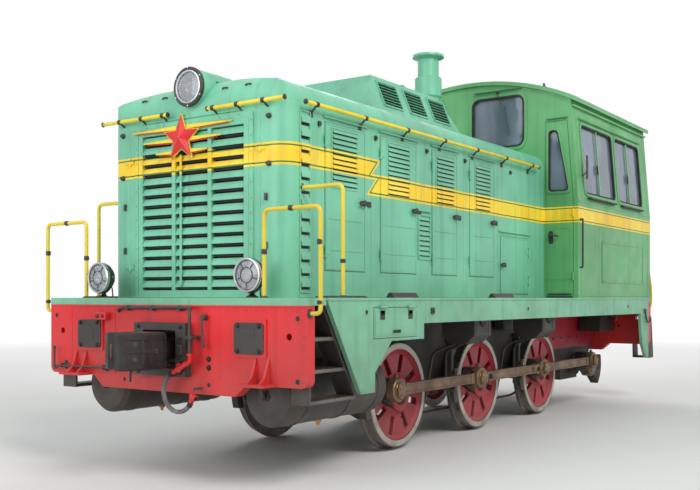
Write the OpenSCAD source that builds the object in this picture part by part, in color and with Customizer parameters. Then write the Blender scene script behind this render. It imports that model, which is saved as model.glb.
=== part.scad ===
// Three-axle rod-coupled diesel shunting locomotive.
// Frame: +X forward, +Y left, +Z up. The origin lies on the plane that the wheel flanges touch,
// midway between the coupler faces and on the centre line.

/* [Overall] */
// Length over the buffer beams
body_l = 8460; // [8000:20:9400]
// Width over the skirts, beams and cab
body_w = 3000; // [2900:10:3200]
// Height of the deck's top
deck_z = 1520; // [1480:5:1600]
// Reach of a coupler's face beyond its buffer beam
coupler_reach = 610; // [560:10:700]

/* [Wheels and rods] */
// Tread diameter of the wheels
wheel_d = 1050; // [950:10:1060]
// Height of the flange over the tread
flange_h = 28; // [24:1:32]
// Distance between the inner faces of a pair of wheels
back_to_back = 1440; // [1430:1:1450]
// Width of the tyre
tyre_w = 130; // [120:1:140]
// Distance between neighbouring axles, and from the rear axle to the jackshaft
axle_pitch = 1750; // [1700:10:1800]
// Place of the front axle ahead of the middle of the body
front_axle_x = 1860; // [1800:10:1900]
// Crank radius
crank_r = 300; // [260:5:310]
// Angle of the left cranks above the horizontal at rest
crank_angle = 15; // [0:1:30]
// Radius of the axles
axle_r = 95; // [85:1:110]
// Radius of the crank pins
crank_pin_r = 55; // [45:1:65]
// Thickness of the rods' eyes
rod_eye_t = 110; // [90:1:120]
// Outer radius of the rods' eyes
rod_eye_r = 120; // [105:1:130]

/* [Underframe] */
// Thickness of the deck
deck_t = 60; // [40:1:80]
// Thickness of the buffer beams
beam_t = 100; // [60:5:120]
// Height of the beams' lower edge at the corners
beam_low_z = 830; // [800:5:900]
// Distance between the inner faces of the frame plates
frame_gap = 1180; // [1120:2:1200]
// Thickness of the frame plates
frame_t = 50; // [30:1:60]
// Thickness of the skirts
skirt_t = 40; // [25:1:50]
// Height of the skirt's lower edge over the wheels
sill_z = 1290; // [1260:5:1330]
// Height of the skirt's lower edge at the front
skirt_low_z = 730; // [700:5:780]
// Radius of the front air tanks
tank_r = 260; // [220:5:280]
// Length of the front air tanks
tank_l = 1450; // [1200:10:1500]

/* [Hood] */
// Half width of the engine hood
hood_hw = 1045; // [980:5:1060]
// Length of the engine hood
hood_l = 5210; // [5150:10:5300]
// Height of the hood's eaves
eave_z = 3150; // [3100:5:3250]
// Radius of the hood's shoulders
shoulder_r = 180; // [120:5:220]
// Height of the hood's crown
crown_z = 3410; // [3380:5:3500]
// Thickness of the hood's walls
hood_t = 50; // [40:1:60]
// Height of the hood doors' opening
hood_door_h = 1280; // [1100:5:1300]
// Thickness of the hood doors
door_t = 45; // [35:1:48]

/* [Cab] */
// Thickness of the cab walls
cab_t = 60; // [50:1:70]
// Height of the belt line, over which the cab sides lean in
belt_z = 2730; // [2680:5:2760]
// Height of the eaves
cab_eave_z = 3980; // [3950:5:4050]
// Lean of the cab sides between belt and eaves
cab_lean = 100; // [60:5:120]
// Height of the cab roof's crown
cab_top_z = 4360; // [4330:5:4450]
// Thickness of the cab roof
roof_t = 50; // [40:1:60]
// Thickness of the window panes
glass_t = 12; // [8:1:20]

/* [Fits] */
// Gap round a door or lid
door_gap = 5; // [4:1:8]
// Play of a pane in its window, on each side
pane_play = 0.3; // [0.2:0.1:0.5]
// Radial play of a shaft or pin in its own bearing
pin_play = 0.1; // [0.05:0.01:0.1]
// Radial play of the rod eyes that the coupled cranks carry
eye_play = 1; // [0.5:0.1:2]
// Gap at the seat of a wheel on its axle
seat_play = 0.05; // [0.02:0.01:0.1]

/* [Hidden] */
$fn = 48;

// Colours
green = "#4f9e78";
pale_green = "#74bd98";
cab_green = "#4f9660";
red = "#d4232c";
crimson = "#b3203a";
steel = "#6e6259";
dark = "#2e2b2b";
yellow = "#f2cf2e";
glass = "#8fa3b0";

// Driving places
beam_x = body_l / 2;
body_hw = body_w / 2;
wheel_r = wheel_d / 2;
flange_r = wheel_r + flange_h;
axle_z = flange_r;
axle_xs = [for (i = [0:2]) front_axle_x - i * axle_pitch];
jack_x = front_axle_x - 3 * axle_pitch;
wheel_in = back_to_back / 2;
wheel_out = wheel_in + tyre_w;
axle_end = wheel_out - 20;
boss_out = wheel_out + 80;
rod_in = boss_out + 10;
rod_out = rod_in + rod_eye_t;
pin_out = rod_out + 10;
under_deck = deck_z - deck_t;
frame_in = frame_gap / 2;
frame_out = frame_in + frame_t;
skirt_in = body_hw - skirt_t;
beam_back = beam_x - beam_t;

// Buffer beam and coupler
beam_drop = 100;
beam_mid_hw = 900;
beam_slope = 120;
beam_corner_r = 60;
coupler_z = 1090;
pocket_hw = 190;
pocket_h = 320;
draft_pin_r = 45;
draft_pin_x = beam_back - 180;
draft_hw = 160;
draft_plate = 30;
shank_hw = 80;
shank_h = 160;
tail_r = 105;
striker_hw = 300;
striker_h = 440;
striker_t = 60;
mount_hole_r = 16;
mount_hole_dy = 220;
mount_hole_dz = 200;
mount_plate_y = 940;
mount_plate_z = 1200;
mount_plate_w = 340;
mount_plate_h = 300;
mount_plate_t = 16;

// Skirt
skirt_top_x = beam_back - 150;
skirt_foot_x = 3500;
arch_front_x = 3290;
arch_rear_x = 2480;
arch_z = 1150;
arch_r = 260;
tail_x = -3750;
tail_low_z = 640;
lid_front_x = 3315;
lid_rear_x = 2600;
lid_low_z = 1175;
lid_top_z = under_deck - 20;
lid_t = 30;

// Hinges: the axis lies outside the wall, over the edge of the opening
hinge_off = 17;
barrel_r = 12;
hinge_pin_r = 6;
knuckle_l = 60;
lug_l = 22;
lug_gap = 0.8;
leaf_proud = 5;
strap_l = 70;
strap_t = 6;

// Hood
corner_r = 160;
hood_front_x = beam_x - 320;
hood_rear_x = hood_front_x - hood_l;
hood_side_x = hood_front_x - 2 * corner_r - 10;
nose_r = 220;
door_low_z = 1750;
grille_hw = 660;
grille_low_z = 1530;
grille_top_z = 3030;
grille_play = 0.5;
// Front edge of each hood door's opening behind the hood's front, its width and its number
door_places = [[525, 630, 1], [1395, 670, 2], [2360, 550, 3], [3180, 620, 4]];
hood_doors = [for (d = door_places) [hood_front_x - d[0], d[1], d[2]]];
hatch_rear_x = hood_rear_x + 480;
hatch_w = 780;
hatch_low_z = 1560;
hatch_h = 680;

// Roof of the hood
box_front_x = hood_front_x - 1870;
box_rear_x = box_front_x - 1980;
box_hw = 600;
box_top_hw = 430;
box_top_z = 3830;
box_slope = 300;
box_t = 40;
stack_x = box_rear_x - 260;
stack_top_z = 4500;
stack_r = 130;
stack_bore_r = 105;
stack_collar_r = 165;

// Cab
cab_front_x = hood_rear_x;
cab_rear_x = -beam_x + 30;
roof_overhang = 35;
// Circle of the roof's underside through eaves and crown
roof_c = body_hw - cab_lean + 40;
roof_s = cab_top_z - roof_t - cab_eave_z;
roof_R = (roof_c * roof_c + roof_s * roof_s) / (2 * roof_s);
roof_cz = cab_top_z - roof_t - roof_R;
cab_door_in = hood_hw + 30;
cab_door_out = body_hw - 60;
cab_door_low_z = deck_z + 20;
cab_door_top_z = 3740;
side_window_low = 2830;
side_window_top = 3720;
// Front and rear edge of each cab side window, from the cab's front wall
side_windows = [[250, 1400], [1500, 2550]];
// Inner and outer edge of each end window, in Y; the front right one stands out past the exhaust stack
front_windows = [[30, 790], [-1000, -450]];
rear_windows = [[60, 720], [-720, -60]];
end_window_low = crown_z + 50;
end_window_top = 4140;
window_r = 80;

// Handrails
rail_r = 17;
pole_x = hood_front_x - 210;
pole_y = body_hw - 40;
pole_top_z = 2430;
loop_x = beam_x - 40;
loop_in = 1050;
loop_out = body_hw + 100;
loop_top_z = 2210;
eave_rail_y = hood_hw + 65;

// Running gear
slot_count = 8;
box_w = 300;
notch_play = 0.3;
shoe_gap = 8;
hose_arc_r = 165;
hose_r = 19;

// ---------- helpers ----------

// Children on the left side, and mirrored on the right
module both_sides() {
  children();
  mirror([0, 1, 0]) children();
}

// Children on the left (side = 1) or the right (side = -1)
module on_side(side) {
  if (side > 0) children();
  else mirror([0, 1, 0]) children();
}

// A box between two corners
module block(a, b) {
  translate(a) cube(b - a);
}

// An outline in Y and Z, drawn out from x0 to x1
module along_x(x0, x1) {
  translate([x0, 0, 0]) rotate([90, 0, 90]) linear_extrude(x1 - x0) children();
}

// An outline in X and Z, drawn out from y0 to y1
module along_y(y0, y1) {
  translate([0, y1, 0]) rotate([90, 0, 0]) linear_extrude(y1 - y0) children();
}

// A round bar along Y from y0 to y1 at x, z
module bar_y(x, z, r, y0, y1) {
  translate([x, y0, z]) rotate([-90, 0, 0]) cylinder(r = r, h = y1 - y0);
}

// A round bar along X from x0 to x1 at y, z
module bar_x(y, z, r, x0, x1) {
  translate([x0, y, z]) rotate([0, 90, 0]) cylinder(r = r, h = x1 - x0);
}

// A round bar along Z from z0 to z1 at x, y
module bar_z(x, y, r, z0, z1) {
  translate([x, y, z0]) cylinder(r = r, h = z1 - z0);
}

// Points along an arc of n steps
function arc(c, r, a0, a1, n) =
  [for (i = [0:n]) c + r * [cos(a0 + (a1 - a0) * i / n), sin(a0 + (a1 - a0) * i / n)]];

// A closed outline with its corners rounded off in n steps, from a distance r before each to r after it
function rounded(points, r, n) = [for (i = [0:len(points) - 1])
  let (p = points[i], a = points[(i + len(points) - 1) % len(points)] - p,
    b = points[(i + 1) % len(points)] - p)
    for (t = [0:1 / n:1.001]) p + a * (r / norm(a)) * (1 - t) * (1 - t) + b * (r / norm(b)) * t * t];

// A rectangle between two corners with round corners
module round_rect(a, b, r) {
  translate([a[0] + r, a[1]]) square([b[0] - a[0] - 2 * r, b[1] - a[1]]);
  translate([a[0], a[1] + r]) square([b[0] - a[0], b[1] - a[1] - 2 * r]);
  for (x = [a[0] + r, b[0] - r], y = [a[1] + r, b[1] - r]) translate([x, y]) circle(r);
}

// ---------- hinges, drawn round an axis along Z; the wall is towards -Y, the leaf towards -X ----------

// The wall's part of a hinge: two lugs and the pin between them
module wall_hinge() {
  lug_z = knuckle_l / 2 + lug_gap;
  for (z = [-lug_z - lug_l, lug_z]) {
    translate([0, 0, z]) cylinder(r = barrel_r, h = lug_l, $fn = 24);
    block([-1, -hinge_off, z], [barrel_r, 0, z + lug_l]);
  }
  translate([0, 0, -lug_z - lug_l]) cylinder(r = hinge_pin_r, h = 2 * (lug_z + lug_l), $fn = 24);
}

// The leaf's part of a hinge: a knuckle on a strap
module leaf_hinge() {
  difference() {
    union() {
      translate([0, 0, -knuckle_l / 2]) cylinder(r = barrel_r, h = knuckle_l, $fn = 24);
      block([-strap_l, -hinge_off + leaf_proud, -knuckle_l / 2],
        [0, -hinge_off + leaf_proud + strap_t, knuckle_l / 2]);
    }
    translate([0, 0, -knuckle_l]) cylinder(r = hinge_pin_r + pin_play, h = 2 * knuckle_l, $fn = 24);
  }
}

// Places its children at a hinge axis on a side wall: left side, leaf towards -X
module side_hinges(x, wall_y, zs) {
  for (z = zs) translate([x, wall_y + hinge_off, z]) children();
}

// ---------- running gear ----------

// One wheel with its flange towards the middle, drawn for the left side, crank at the given angle
module wheel(angle) {
  web_in = wheel_in + 45;
  web_out = wheel_in + 95;
  seat_r = axle_r + seat_play;
  rotate([-90, 0, 0]) difference() {
    union() {
      rotate_extrude($fn = 96) polygon([[seat_r, wheel_in - 30], [170, wheel_in - 30], [190, web_in],
        [wheel_r - 75, web_in], [wheel_r - 60, wheel_in], [flange_r - 10, wheel_in],
        [flange_r, wheel_in + 10], [flange_r, wheel_in + 20], [wheel_r, wheel_in + 34],
        [wheel_r, wheel_out], [wheel_r - 60, wheel_out], [wheel_r - 75, web_out],
        [190, web_out], [170, wheel_out + 20], [0, wheel_out + 20], [0, axle_end + seat_play],
        [seat_r, axle_end + seat_play]]);
      rotate(-angle) {
        translate([crank_r, 0, web_in]) cylinder(r = rod_eye_r - 15, h = boss_out - web_in);
        block([axle_r, -110, web_in], [crank_r, 110, wheel_out + 20]);
        translate([crank_r, 0, boss_out - 1]) cylinder(r = crank_pin_r, h = pin_out - boss_out + 1);
        translate([crank_r, 0, pin_out]) cylinder(r = crank_pin_r + 25, h = 25);
      }
    }
    // Openings of the web, left out where the crank and its boss are
    for (i = [1:slot_count - 1]) rotate(-angle + i * 360 / slot_count)
      block([250, -32, web_in - 10], [395, 32, web_out + 10]);
  }
}

// A wheelset: the axle and two wheels that seat on it; the right cranks trail the left by a quarter turn
module wheelset(x) {
  translate([x, 0, axle_z]) {
    color(crimson) wheel(crank_angle);
    color(crimson) mirror([0, 1, 0]) wheel(crank_angle + 90);
    color(dark) bar_y(0, 0, axle_r, -axle_end, axle_end);
  }
}

// A crank of the jackshaft: web, balance weight, pin and end nut, drawn for the left side
module jack_crank(angle) {
  web_out = boss_out;
  web_in = wheel_in + 60;
  rotate([-90, 0, 0]) rotate(-angle) {
    translate([0, 0, web_in]) cylinder(r = 170, h = web_out - web_in);
    translate([crank_r, 0, web_in]) cylinder(r = rod_eye_r, h = web_out - web_in);
    block([0, -rod_eye_r, web_in], [crank_r, rod_eye_r, web_out]);
    translate([0, 0, web_in]) intersection() {
      cylinder(r = crank_r + 90, h = web_out - web_in - 20);
      block([-crank_r - 100, -230, 0], [0, 230, web_out - web_in]);
    }
    translate([crank_r, 0, web_out - 1]) cylinder(r = crank_pin_r, h = pin_out - web_out + 1);
    translate([crank_r, 0, pin_out]) cylinder(r = crank_pin_r + 25, h = 25);
  }
}

module jackshaft() {
  color(steel) translate([jack_x, 0, axle_z]) {
    bar_y(0, 0, axle_r, -wheel_in - 61, wheel_in + 61);
    jack_crank(crank_angle);
    mirror([0, 1, 0]) jack_crank(crank_angle + 90);
  }
}

// A side rod over the three wheels and the jackshaft
module side_rod(side) {
  angle = side > 0 ? crank_angle : crank_angle + 90;
  dx = crank_r * cos(angle);
  z = axle_z + crank_r * sin(angle);
  eyes = concat(axle_xs, [jack_x]);
  mid = (rod_in + rod_out) / 2;
  color(steel) on_side(side) difference() {
    union() {
      for (x = eyes) bar_y(x + dx, z, rod_eye_r, rod_in, rod_out);
      block([jack_x + dx, mid - 28, z - 60], [front_axle_x + dx, mid + 28, z + 60]);
    }
    bar_y(front_axle_x + dx, z, crank_pin_r + pin_play, rod_in - 1, rod_out + 1);
    for (i = [1:3]) bar_y(eyes[i] + dx, z, crank_pin_r + eye_play, rod_in - 1, rod_out + 1);
  }
}

// Axle boxes in their guides, each with a leaf spring on top that hangs from the frame plate
module suspension() {
  box_low = axle_z - 150;
  box_top = axle_z + 160;
  leaves = 5;
  color(dark) both_sides() for (x = axle_xs) difference() {
    union() {
      block([x - box_w / 2, frame_in - 60, box_low], [x + box_w / 2, frame_out + 30, box_top]);
      for (i = [0:leaves - 1])
        block([x - 130 - 70 * i, frame_in - 90, box_top + 16 * i - (i == 0 ? 1 : 0)],
          [x + 130 + 70 * i, frame_in - notch_play, box_top + 16 * (i + 1)]);
      block([x - 50, frame_in - 100, box_top], [x + 50, frame_in - notch_play, box_top + 16 * leaves + 30]);
    }
    bar_y(x, axle_z, axle_r + pin_play, frame_in - 200, frame_out + 200);
  }
}

// ---------- underframe ----------

// Side view of a frame plate, with guides for the axle boxes and the jackshaft housing
module frame_plate_outline() {
  notch_top = axle_z + 160 + notch_play;
  notch = box_w / 2 + notch_play;
  low = 620;
  difference() {
    polygon([[-beam_back, under_deck], [beam_back, under_deck], [beam_back, 900], [3500, 760],
      [2600, low], [jack_x - 500, low], [-beam_back, 900]]);
    for (x = axle_xs) translate([x - notch, 0]) square([2 * notch, notch_top]);
    translate([jack_x, axle_z]) circle(axle_r + 60);
    translate([jack_x - axle_r - 60, 0]) square([2 * (axle_r + 60), axle_z]);
  }
}

// Draft gear in one end of the frame: two plates with the coupler's pin
module draft_gear() {
  low = coupler_z - 135;
  high = coupler_z + 135;
  root_x = draft_pin_x - 220;
  block([root_x - 110, -frame_in, 830], [root_x, frame_in, under_deck]);
  for (z = [low - draft_plate, high]) block([root_x - 1, -draft_hw, z], [beam_back, draft_hw,
    z + draft_plate]);
  bar_z(draft_pin_x, 0, draft_pin_r, low - 1, high + 1);
}

module main_frame() {
  tie_t = 80;
  ties = [2950, front_axle_x - axle_pitch / 2, front_axle_x - 3 * axle_pitch / 2, -2450];
  color(dark) {
    both_sides() along_y(frame_in, frame_out) frame_plate_outline();
    for (x = ties) block([x - tie_t / 2, -frame_in - 1, 820], [x + tie_t / 2, frame_in + 1, under_deck]);
    draft_gear();
    mirror([1, 0, 0]) draft_gear();
  }
}

module deck() {
  color(green) translate([0, 0, under_deck]) linear_extrude(deck_t) polygon([
    [beam_x, -body_hw], [beam_x, body_hw], [skirt_top_x, body_hw], [skirt_top_x, skirt_in],
    [-beam_back, skirt_in], [-beam_back, body_hw], [-beam_x, body_hw], [-beam_x, -body_hw],
    [-beam_back, -body_hw], [-beam_back, -skirt_in], [skirt_top_x, -skirt_in], [skirt_top_x, -body_hw]]);
}

// Front view of a buffer beam with the coupler's pocket
module beam_outline() {
  r = beam_corner_r;
  difference() {
    union() {
      translate([-body_hw, beam_low_z + r]) square([body_w, under_deck - beam_low_z - r]);
      translate([r - body_hw, beam_low_z]) square([body_w - 2 * r, under_deck - beam_low_z]);
      for (y = [r - body_hw, body_hw - r]) translate([y, beam_low_z + r]) circle(r);
      polygon([[-beam_mid_hw, beam_low_z], [beam_slope - beam_mid_hw, beam_low_z - beam_drop],
        [beam_mid_hw - beam_slope, beam_low_z - beam_drop], [beam_mid_hw, beam_low_z]]);
    }
    translate([-pocket_hw, coupler_z - pocket_h / 2]) square([2 * pocket_hw, pocket_h]);
    for (side = [-1, 1]) translate([side * (body_hw - 170), mount_plate_z + 20]) circle(28);
  }
}

// Buffer beam at the front, with the bolt holes of its cover plates
module beam() {
  difference() {
    beam_body();
    both_sides() for (dy = [-1, 1], dz = [-1, 1])
      bar_x(mount_plate_y + dy * mount_hole_dy / 2, mount_plate_z + dz * mount_hole_dz / 2, mount_hole_r,
        beam_back - 1, beam_x + 40);
  }
}

// The beam's plate, striker casting, cover plates and step plates
module beam_body() {
  color(red) along_x(beam_back, beam_x) beam_outline();
  color(dark) {
    along_x(beam_x - 1, beam_x + striker_t) difference() {
      round_rect([-striker_hw, coupler_z - striker_h / 2], [striker_hw, coupler_z + striker_h / 2], 30);
      translate([-pocket_hw, coupler_z - pocket_h / 2]) square([2 * pocket_hw, pocket_h]);
    }
    both_sides() {
      block([beam_x - 1, mount_plate_y - mount_plate_w / 2, mount_plate_z - mount_plate_h / 2],
        [beam_x + mount_plate_t, mount_plate_y + mount_plate_w / 2, mount_plate_z + mount_plate_h / 2]);
      block([beam_x - 1, beam_mid_hw + 20, beam_low_z], [beam_x + 150, beam_mid_hw + 300, beam_low_z + 20]);
      for (y = [beam_mid_hw + 90, beam_mid_hw + 220])
        along_y(y, y + 20) polygon([[beam_x - 1, beam_low_z + 10], [beam_x + 130, beam_low_z + 10],
          [beam_x + 60, beam_low_z + 70], [beam_x - 1, beam_low_z + 230]]);
    }
  }
}

// Side view of a skirt: foot and arch at the front, long sill, tail at the rear
module skirt_outline() {
  difference() {
    polygon([[skirt_top_x, deck_z], [skirt_foot_x, skirt_low_z], [arch_front_x, skirt_low_z],
      [arch_front_x, arch_z - arch_r], [arch_front_x - arch_r, arch_z], [arch_rear_x, arch_z],
      [arch_rear_x, sill_z], [tail_x, sill_z], [tail_x - 90, tail_low_z + 200], [tail_x - 250, tail_low_z],
      [-beam_back, tail_low_z], [-beam_back, deck_z]]);
    translate([lid_rear_x, lid_low_z]) square([lid_front_x - lid_rear_x, lid_top_z - lid_low_z]);
  }
  // Round front upper corner of the wheel arch
  intersection() {
    translate([arch_front_x - arch_r, arch_z - arch_r]) square(arch_r);
    difference() {
      translate([arch_front_x - arch_r, arch_z - arch_r]) square(arch_r);
      translate([arch_front_x - arch_r, arch_z - arch_r]) circle(arch_r - 1);
    }
  }
}

lid_hinge_z = lid_top_z + 1;
lid_hinge_xs = [lid_rear_x + 130, lid_front_x - 130];

module skirt(side) {
  color(pale_green) on_side(side) {
    along_y(skirt_in, body_hw) skirt_outline();
    for (x = lid_hinge_xs) translate([x, body_hw + hinge_off, lid_hinge_z]) mirror([1, 0, -1]) wall_hinge();
  }
}

module locker_lid(side) {
  y = body_hw + leaf_proud;
  color(pale_green) on_side(side) {
    block([lid_rear_x + door_gap, y - lid_t, lid_low_z + door_gap], [lid_front_x - door_gap, y,
      lid_top_z - door_gap]);
    for (x = lid_hinge_xs) translate([x, body_hw + hinge_off, lid_hinge_z]) mirror([1, 0, -1]) leaf_hinge();
  }
}

// Front corner steps behind the beam, and the shunter's steps outside the rear beam
module front_steps() {
  y0 = 1270;
  y1 = skirt_in - 10;
  low = 690;
  treads = [720, 960, 1210];
  lean = (skirt_top_x - skirt_foot_x) / (deck_z - skirt_low_z);
  along_y(y0, y1) {
    translate([beam_back - 20, low]) square([20, under_deck - low]);
    polygon([[skirt_foot_x - lean * (skirt_low_z - low) + 10, low],
      [skirt_foot_x - lean * (skirt_low_z - low) + 30, low],
      [skirt_top_x - lean * deck_t + 30, under_deck], [skirt_top_x - lean * deck_t + 10, under_deck]]);
    for (z = treads) translate([skirt_foot_x + lean * (z - skirt_low_z) + 15, z - 28])
      square([beam_back - 10 - skirt_foot_x - lean * (z - skirt_low_z) - 15, 28]);
  }
}

module rear_steps() {
  y0 = 1220;
  y1 = 1470;
  low = 620;
  for (y = [y0, y1 - 20]) along_y(y, y + 20) polygon([[-beam_x, 1400], [-beam_x, 1150], [-beam_x - 30, low],
    [-beam_x - 230, low], [-beam_x - 230, low + 40], [-beam_x - 150, 1200]]);
  for (z = [low, 940]) block([-beam_x - 230 + 0.14 * (z - low), y0 + 1, z],
    [-beam_x - 45 + 0.05 * (z - low), y1 - 1, z + 28]);
}

module steps() {
  color(dark) both_sides() {
    front_steps();
    rear_steps();
  }
}

// A tank with dished ends along X, on two hangers from the deck
module tank(x0, x1, y, z, r) {
  dish = r / 4;
  translate([x0, y, z]) rotate([0, 90, 0]) rotate_extrude($fn = 96)
    polygon([[0, 0], [r * 0.6, 0], [r * 0.87, dish * 0.35], [r, dish], [r, x1 - x0 - dish],
      [r * 0.87, x1 - x0 - dish * 0.35], [r * 0.6, x1 - x0], [0, x1 - x0]]);
  for (x = [x0 + 300, x1 - 340]) block([x, y - 40, z + r - 30], [x + 50, y + 40, under_deck]);
}

// Front air tanks, and the equipment boxes under the cab
module air_tanks() {
  tank_y = frame_out + tank_r + 50;
  front = beam_back - 80;
  color(dark) both_sides() {
    tank(front - tank_l, front, tank_y, 730, tank_r);
    along_y(frame_out + 40, frame_out + 360) polygon([[-beam_back + 50, 1030], [jack_x - 40, 1030],
      [jack_x - 130, 1290], [jack_x - 130, under_deck], [-beam_back + 160, under_deck],
        [-beam_back + 160, 1290]]);
  }
}

// Brake shoes on hangers ahead of each wheel, with cross beams between the sides
module brake_gear() {
  shoe_y0 = wheel_in + 45;
  shoe_y1 = wheel_out - 5;
  bar_w = 45;
  color(dark) for (x = axle_xs) {
    both_sides() {
      along_y(shoe_y0, shoe_y1) intersection() {
        difference() {
          translate([x, axle_z]) circle(wheel_r + shoe_gap + 70, $fn = 96);
          translate([x, axle_z]) circle(wheel_r + shoe_gap, $fn = 96);
        }
        translate([x + 380, axle_z - 190]) square([300, 380]);
      }
      block([x + wheel_r + 60, shoe_y0 + 10, axle_z - 60], [x + wheel_r + 60 + bar_w, shoe_y1 - 10,
        under_deck]);
    }
    bar_y(x + wheel_r + 60 + bar_w / 2, axle_z - 20, 28, -shoe_y0 - 11, shoe_y0 + 11);
  }
}

// Sand boxes under the deck between the wheels
module sand_boxes() {
  color(dark) both_sides() for (i = [0:1]) {
    x = axle_xs[i] - axle_pitch / 2;
    along_x(x - 190, x + 190) polygon([[960, under_deck], [960, 1130], [1060, 1040], [1240, 1040], [1340,
      1130],
      [1340, under_deck]]);
  }
}

module engine_block() {
  color(dark) block([box_rear_x + 190, -520, deck_z], [box_front_x + 610, 520, 2720]);
}

// Final-drive housing on the jackshaft, between the frame plates
module transmission() {
  color(dark) difference() {
    union() {
      block([jack_x - 210, -frame_in + notch_play, 340], [jack_x + 420, frame_in - notch_play, under_deck]);
      bar_y(jack_x, axle_z, axle_r + 60 - notch_play, -frame_out - 30, frame_out + 30);
    }
    bar_y(jack_x, axle_z, axle_r + pin_play, -wheel_out, wheel_out);
  }
}

// ---------- hood ----------

// Cross-section of the hood, moved inward by inset: flat sides, round shoulders and a cambered crown
module hood_section(inset) {
  hw = hood_hw - inset;
  r = shoulder_r - inset;
  c = hw - r;
  top = crown_z - inset;
  s = top - (eave_z + r);
  R = (c * c + s * s) / (2 * s);
  a = asin(c / R);
  crown = arc([0, top - R], R, 90 - a, 90 + a, 16);
  polygon(concat([[hw, deck_z]], arc([c, eave_z], r, 0, 90, 8), [for (i = [1:15]) crown[i]],
    arc([-c, eave_z], r, 90, 180, 8), [[-hw, deck_z]]));
}

// Plan of the hood with round front corners, moved inward by inset
module hood_plan(inset, rear) {
  r = corner_r - inset;
  front = hood_front_x - inset;
  hw = hood_hw - inset;
  intersection() {
    translate([rear, -hw]) square([front - rear, 2 * hw]);
    union() {
      translate([rear, -hw]) square([front - r - rear, 2 * hw]);
      translate([rear, r - hw]) square([front - rear, 2 * (hw - r)]);
      for (y = [r - hw, hw - r]) translate([front - r, y]) circle(r);
    }
  }
}

// Side view of the hood with its round front upper edge, moved inward by inset
module hood_side_view(inset, rear) {
  r = nose_r - inset;
  front = hood_front_x - inset;
  top = crown_z - inset;
  polygon(concat([[rear, deck_z], [front, deck_z]], arc([front - r, top - r], r, 0, 90, 10), [[rear,
    top]]));
}

module hood_front() {
  color(green) difference() {
    translate([0, 0, deck_z]) linear_extrude(eave_z - deck_z) hood_plan(0, hood_side_x);
    translate([0, 0, deck_z - 1]) linear_extrude(eave_z - deck_z + 2) hood_plan(hood_t, hood_side_x - 1);
    block([hood_front_x - 2 * hood_t, -grille_hw, grille_low_z], [hood_front_x + 1, grille_hw,
      grille_top_z]);
  }
}

// Everything the hood's outline holds above height z0, moved inward by inset
module hood_solid(inset, rear, z0) {
  intersection() {
    along_x(rear, hood_front_x) hood_section(inset);
    along_y(-hood_hw - 1, hood_hw + 1) hood_side_view(inset, rear - 1);
    translate([0, 0, z0]) linear_extrude(crown_z + 10 - z0) hood_plan(inset, rear - 1);
  }
}

module hood_roof() {
  color(green) difference() {
    hood_solid(0, hood_rear_x, eave_z);
    hood_solid(hood_t, hood_rear_x - 1, eave_z - 1);
  }
}

// A grille of louvre slats with two uprights
module front_grille() {
  a = grille_hw - grille_play;
  low = grille_low_z + grille_play;
  high = grille_top_z - grille_play;
  frame_w = 55;
  pitch = 62;
  x0 = hood_front_x - hood_t;
  x1 = hood_front_x + 12;
  color(green) {
    along_x(x0, x1) difference() {
      translate([-a, low]) square([2 * a, high - low]);
      translate([frame_w - a, low + frame_w]) square([2 * (a - frame_w), high - low - 2 * frame_w]);
    }
    for (y = [-1, 1]) block([x0, y * 215 - 22, low + 1], [x1, y * 215 + 22, high - 1]);
    for (z = [low + frame_w + 20:pitch:high - frame_w - 40]) translate([x0 + 26, 0, z + 20]) rotate([0,
      50, 0])
      block([-30, frame_w - a - 1, -4], [30, a - frame_w + 1, 4]);
  }
}

// Where the hinges of a hood door lie
function door_hinge_zs(low, h) = [low + 170, low + h - 170];

module hood_side(side) {
  color(green) on_side(side) {
    difference() {
      block([hood_rear_x, hood_hw - hood_t, deck_z], [hood_side_x, hood_hw, eave_z]);
      for (d = hood_doors) block([d[0] - d[1], hood_hw - 2 * hood_t, door_low_z], [d[0], hood_hw + 1,
        door_low_z + hood_door_h]);
      block([hatch_rear_x, hood_hw - 2 * hood_t, hatch_low_z], [hatch_rear_x + hatch_w, hood_hw + 1,
        hatch_low_z + hatch_h]);
    }
    for (d = hood_doors) side_hinges(d[0] + 1, hood_hw, door_hinge_zs(door_low_z,
      hood_door_h)) wall_hinge();
    side_hinges(hatch_rear_x - 1, hood_hw, door_hinge_zs(hatch_low_z, hatch_h)) mirror([1, 0,
      0]) wall_hinge();
  }
}

// A leaf in the hood's side between x0 and x1, with a latch knob at knob_x
module hood_leaf(x0, x1, low, h, knob_x, knob_z) {
  y = hood_hw + leaf_proud;
  block([x0 + door_gap, y - door_t, low + door_gap], [x1 - door_gap, y, low + h - door_gap]);
  bar_y(knob_x, knob_z, 22, y - 1, y + 34);
}

module hood_door(side, d) {
  color(green) on_side(side) {
    hood_leaf(d[0] - d[1], d[0], door_low_z, hood_door_h, d[0] - d[1] + 60, 2370);
    side_hinges(d[0] + 1, hood_hw, door_hinge_zs(door_low_z, hood_door_h)) leaf_hinge();
  }
}

module hatch_door(side) {
  color(green) on_side(side) {
    hood_leaf(hatch_rear_x, hatch_rear_x + hatch_w, hatch_low_z, hatch_h, hatch_rear_x + hatch_w - 60,
      hatch_low_z + hatch_h / 2);
    side_hinges(hatch_rear_x - 1, hood_hw, door_hinge_zs(hatch_low_z, hatch_h)) mirror([1, 0,
      0]) leaf_hinge();
  }
}

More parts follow.
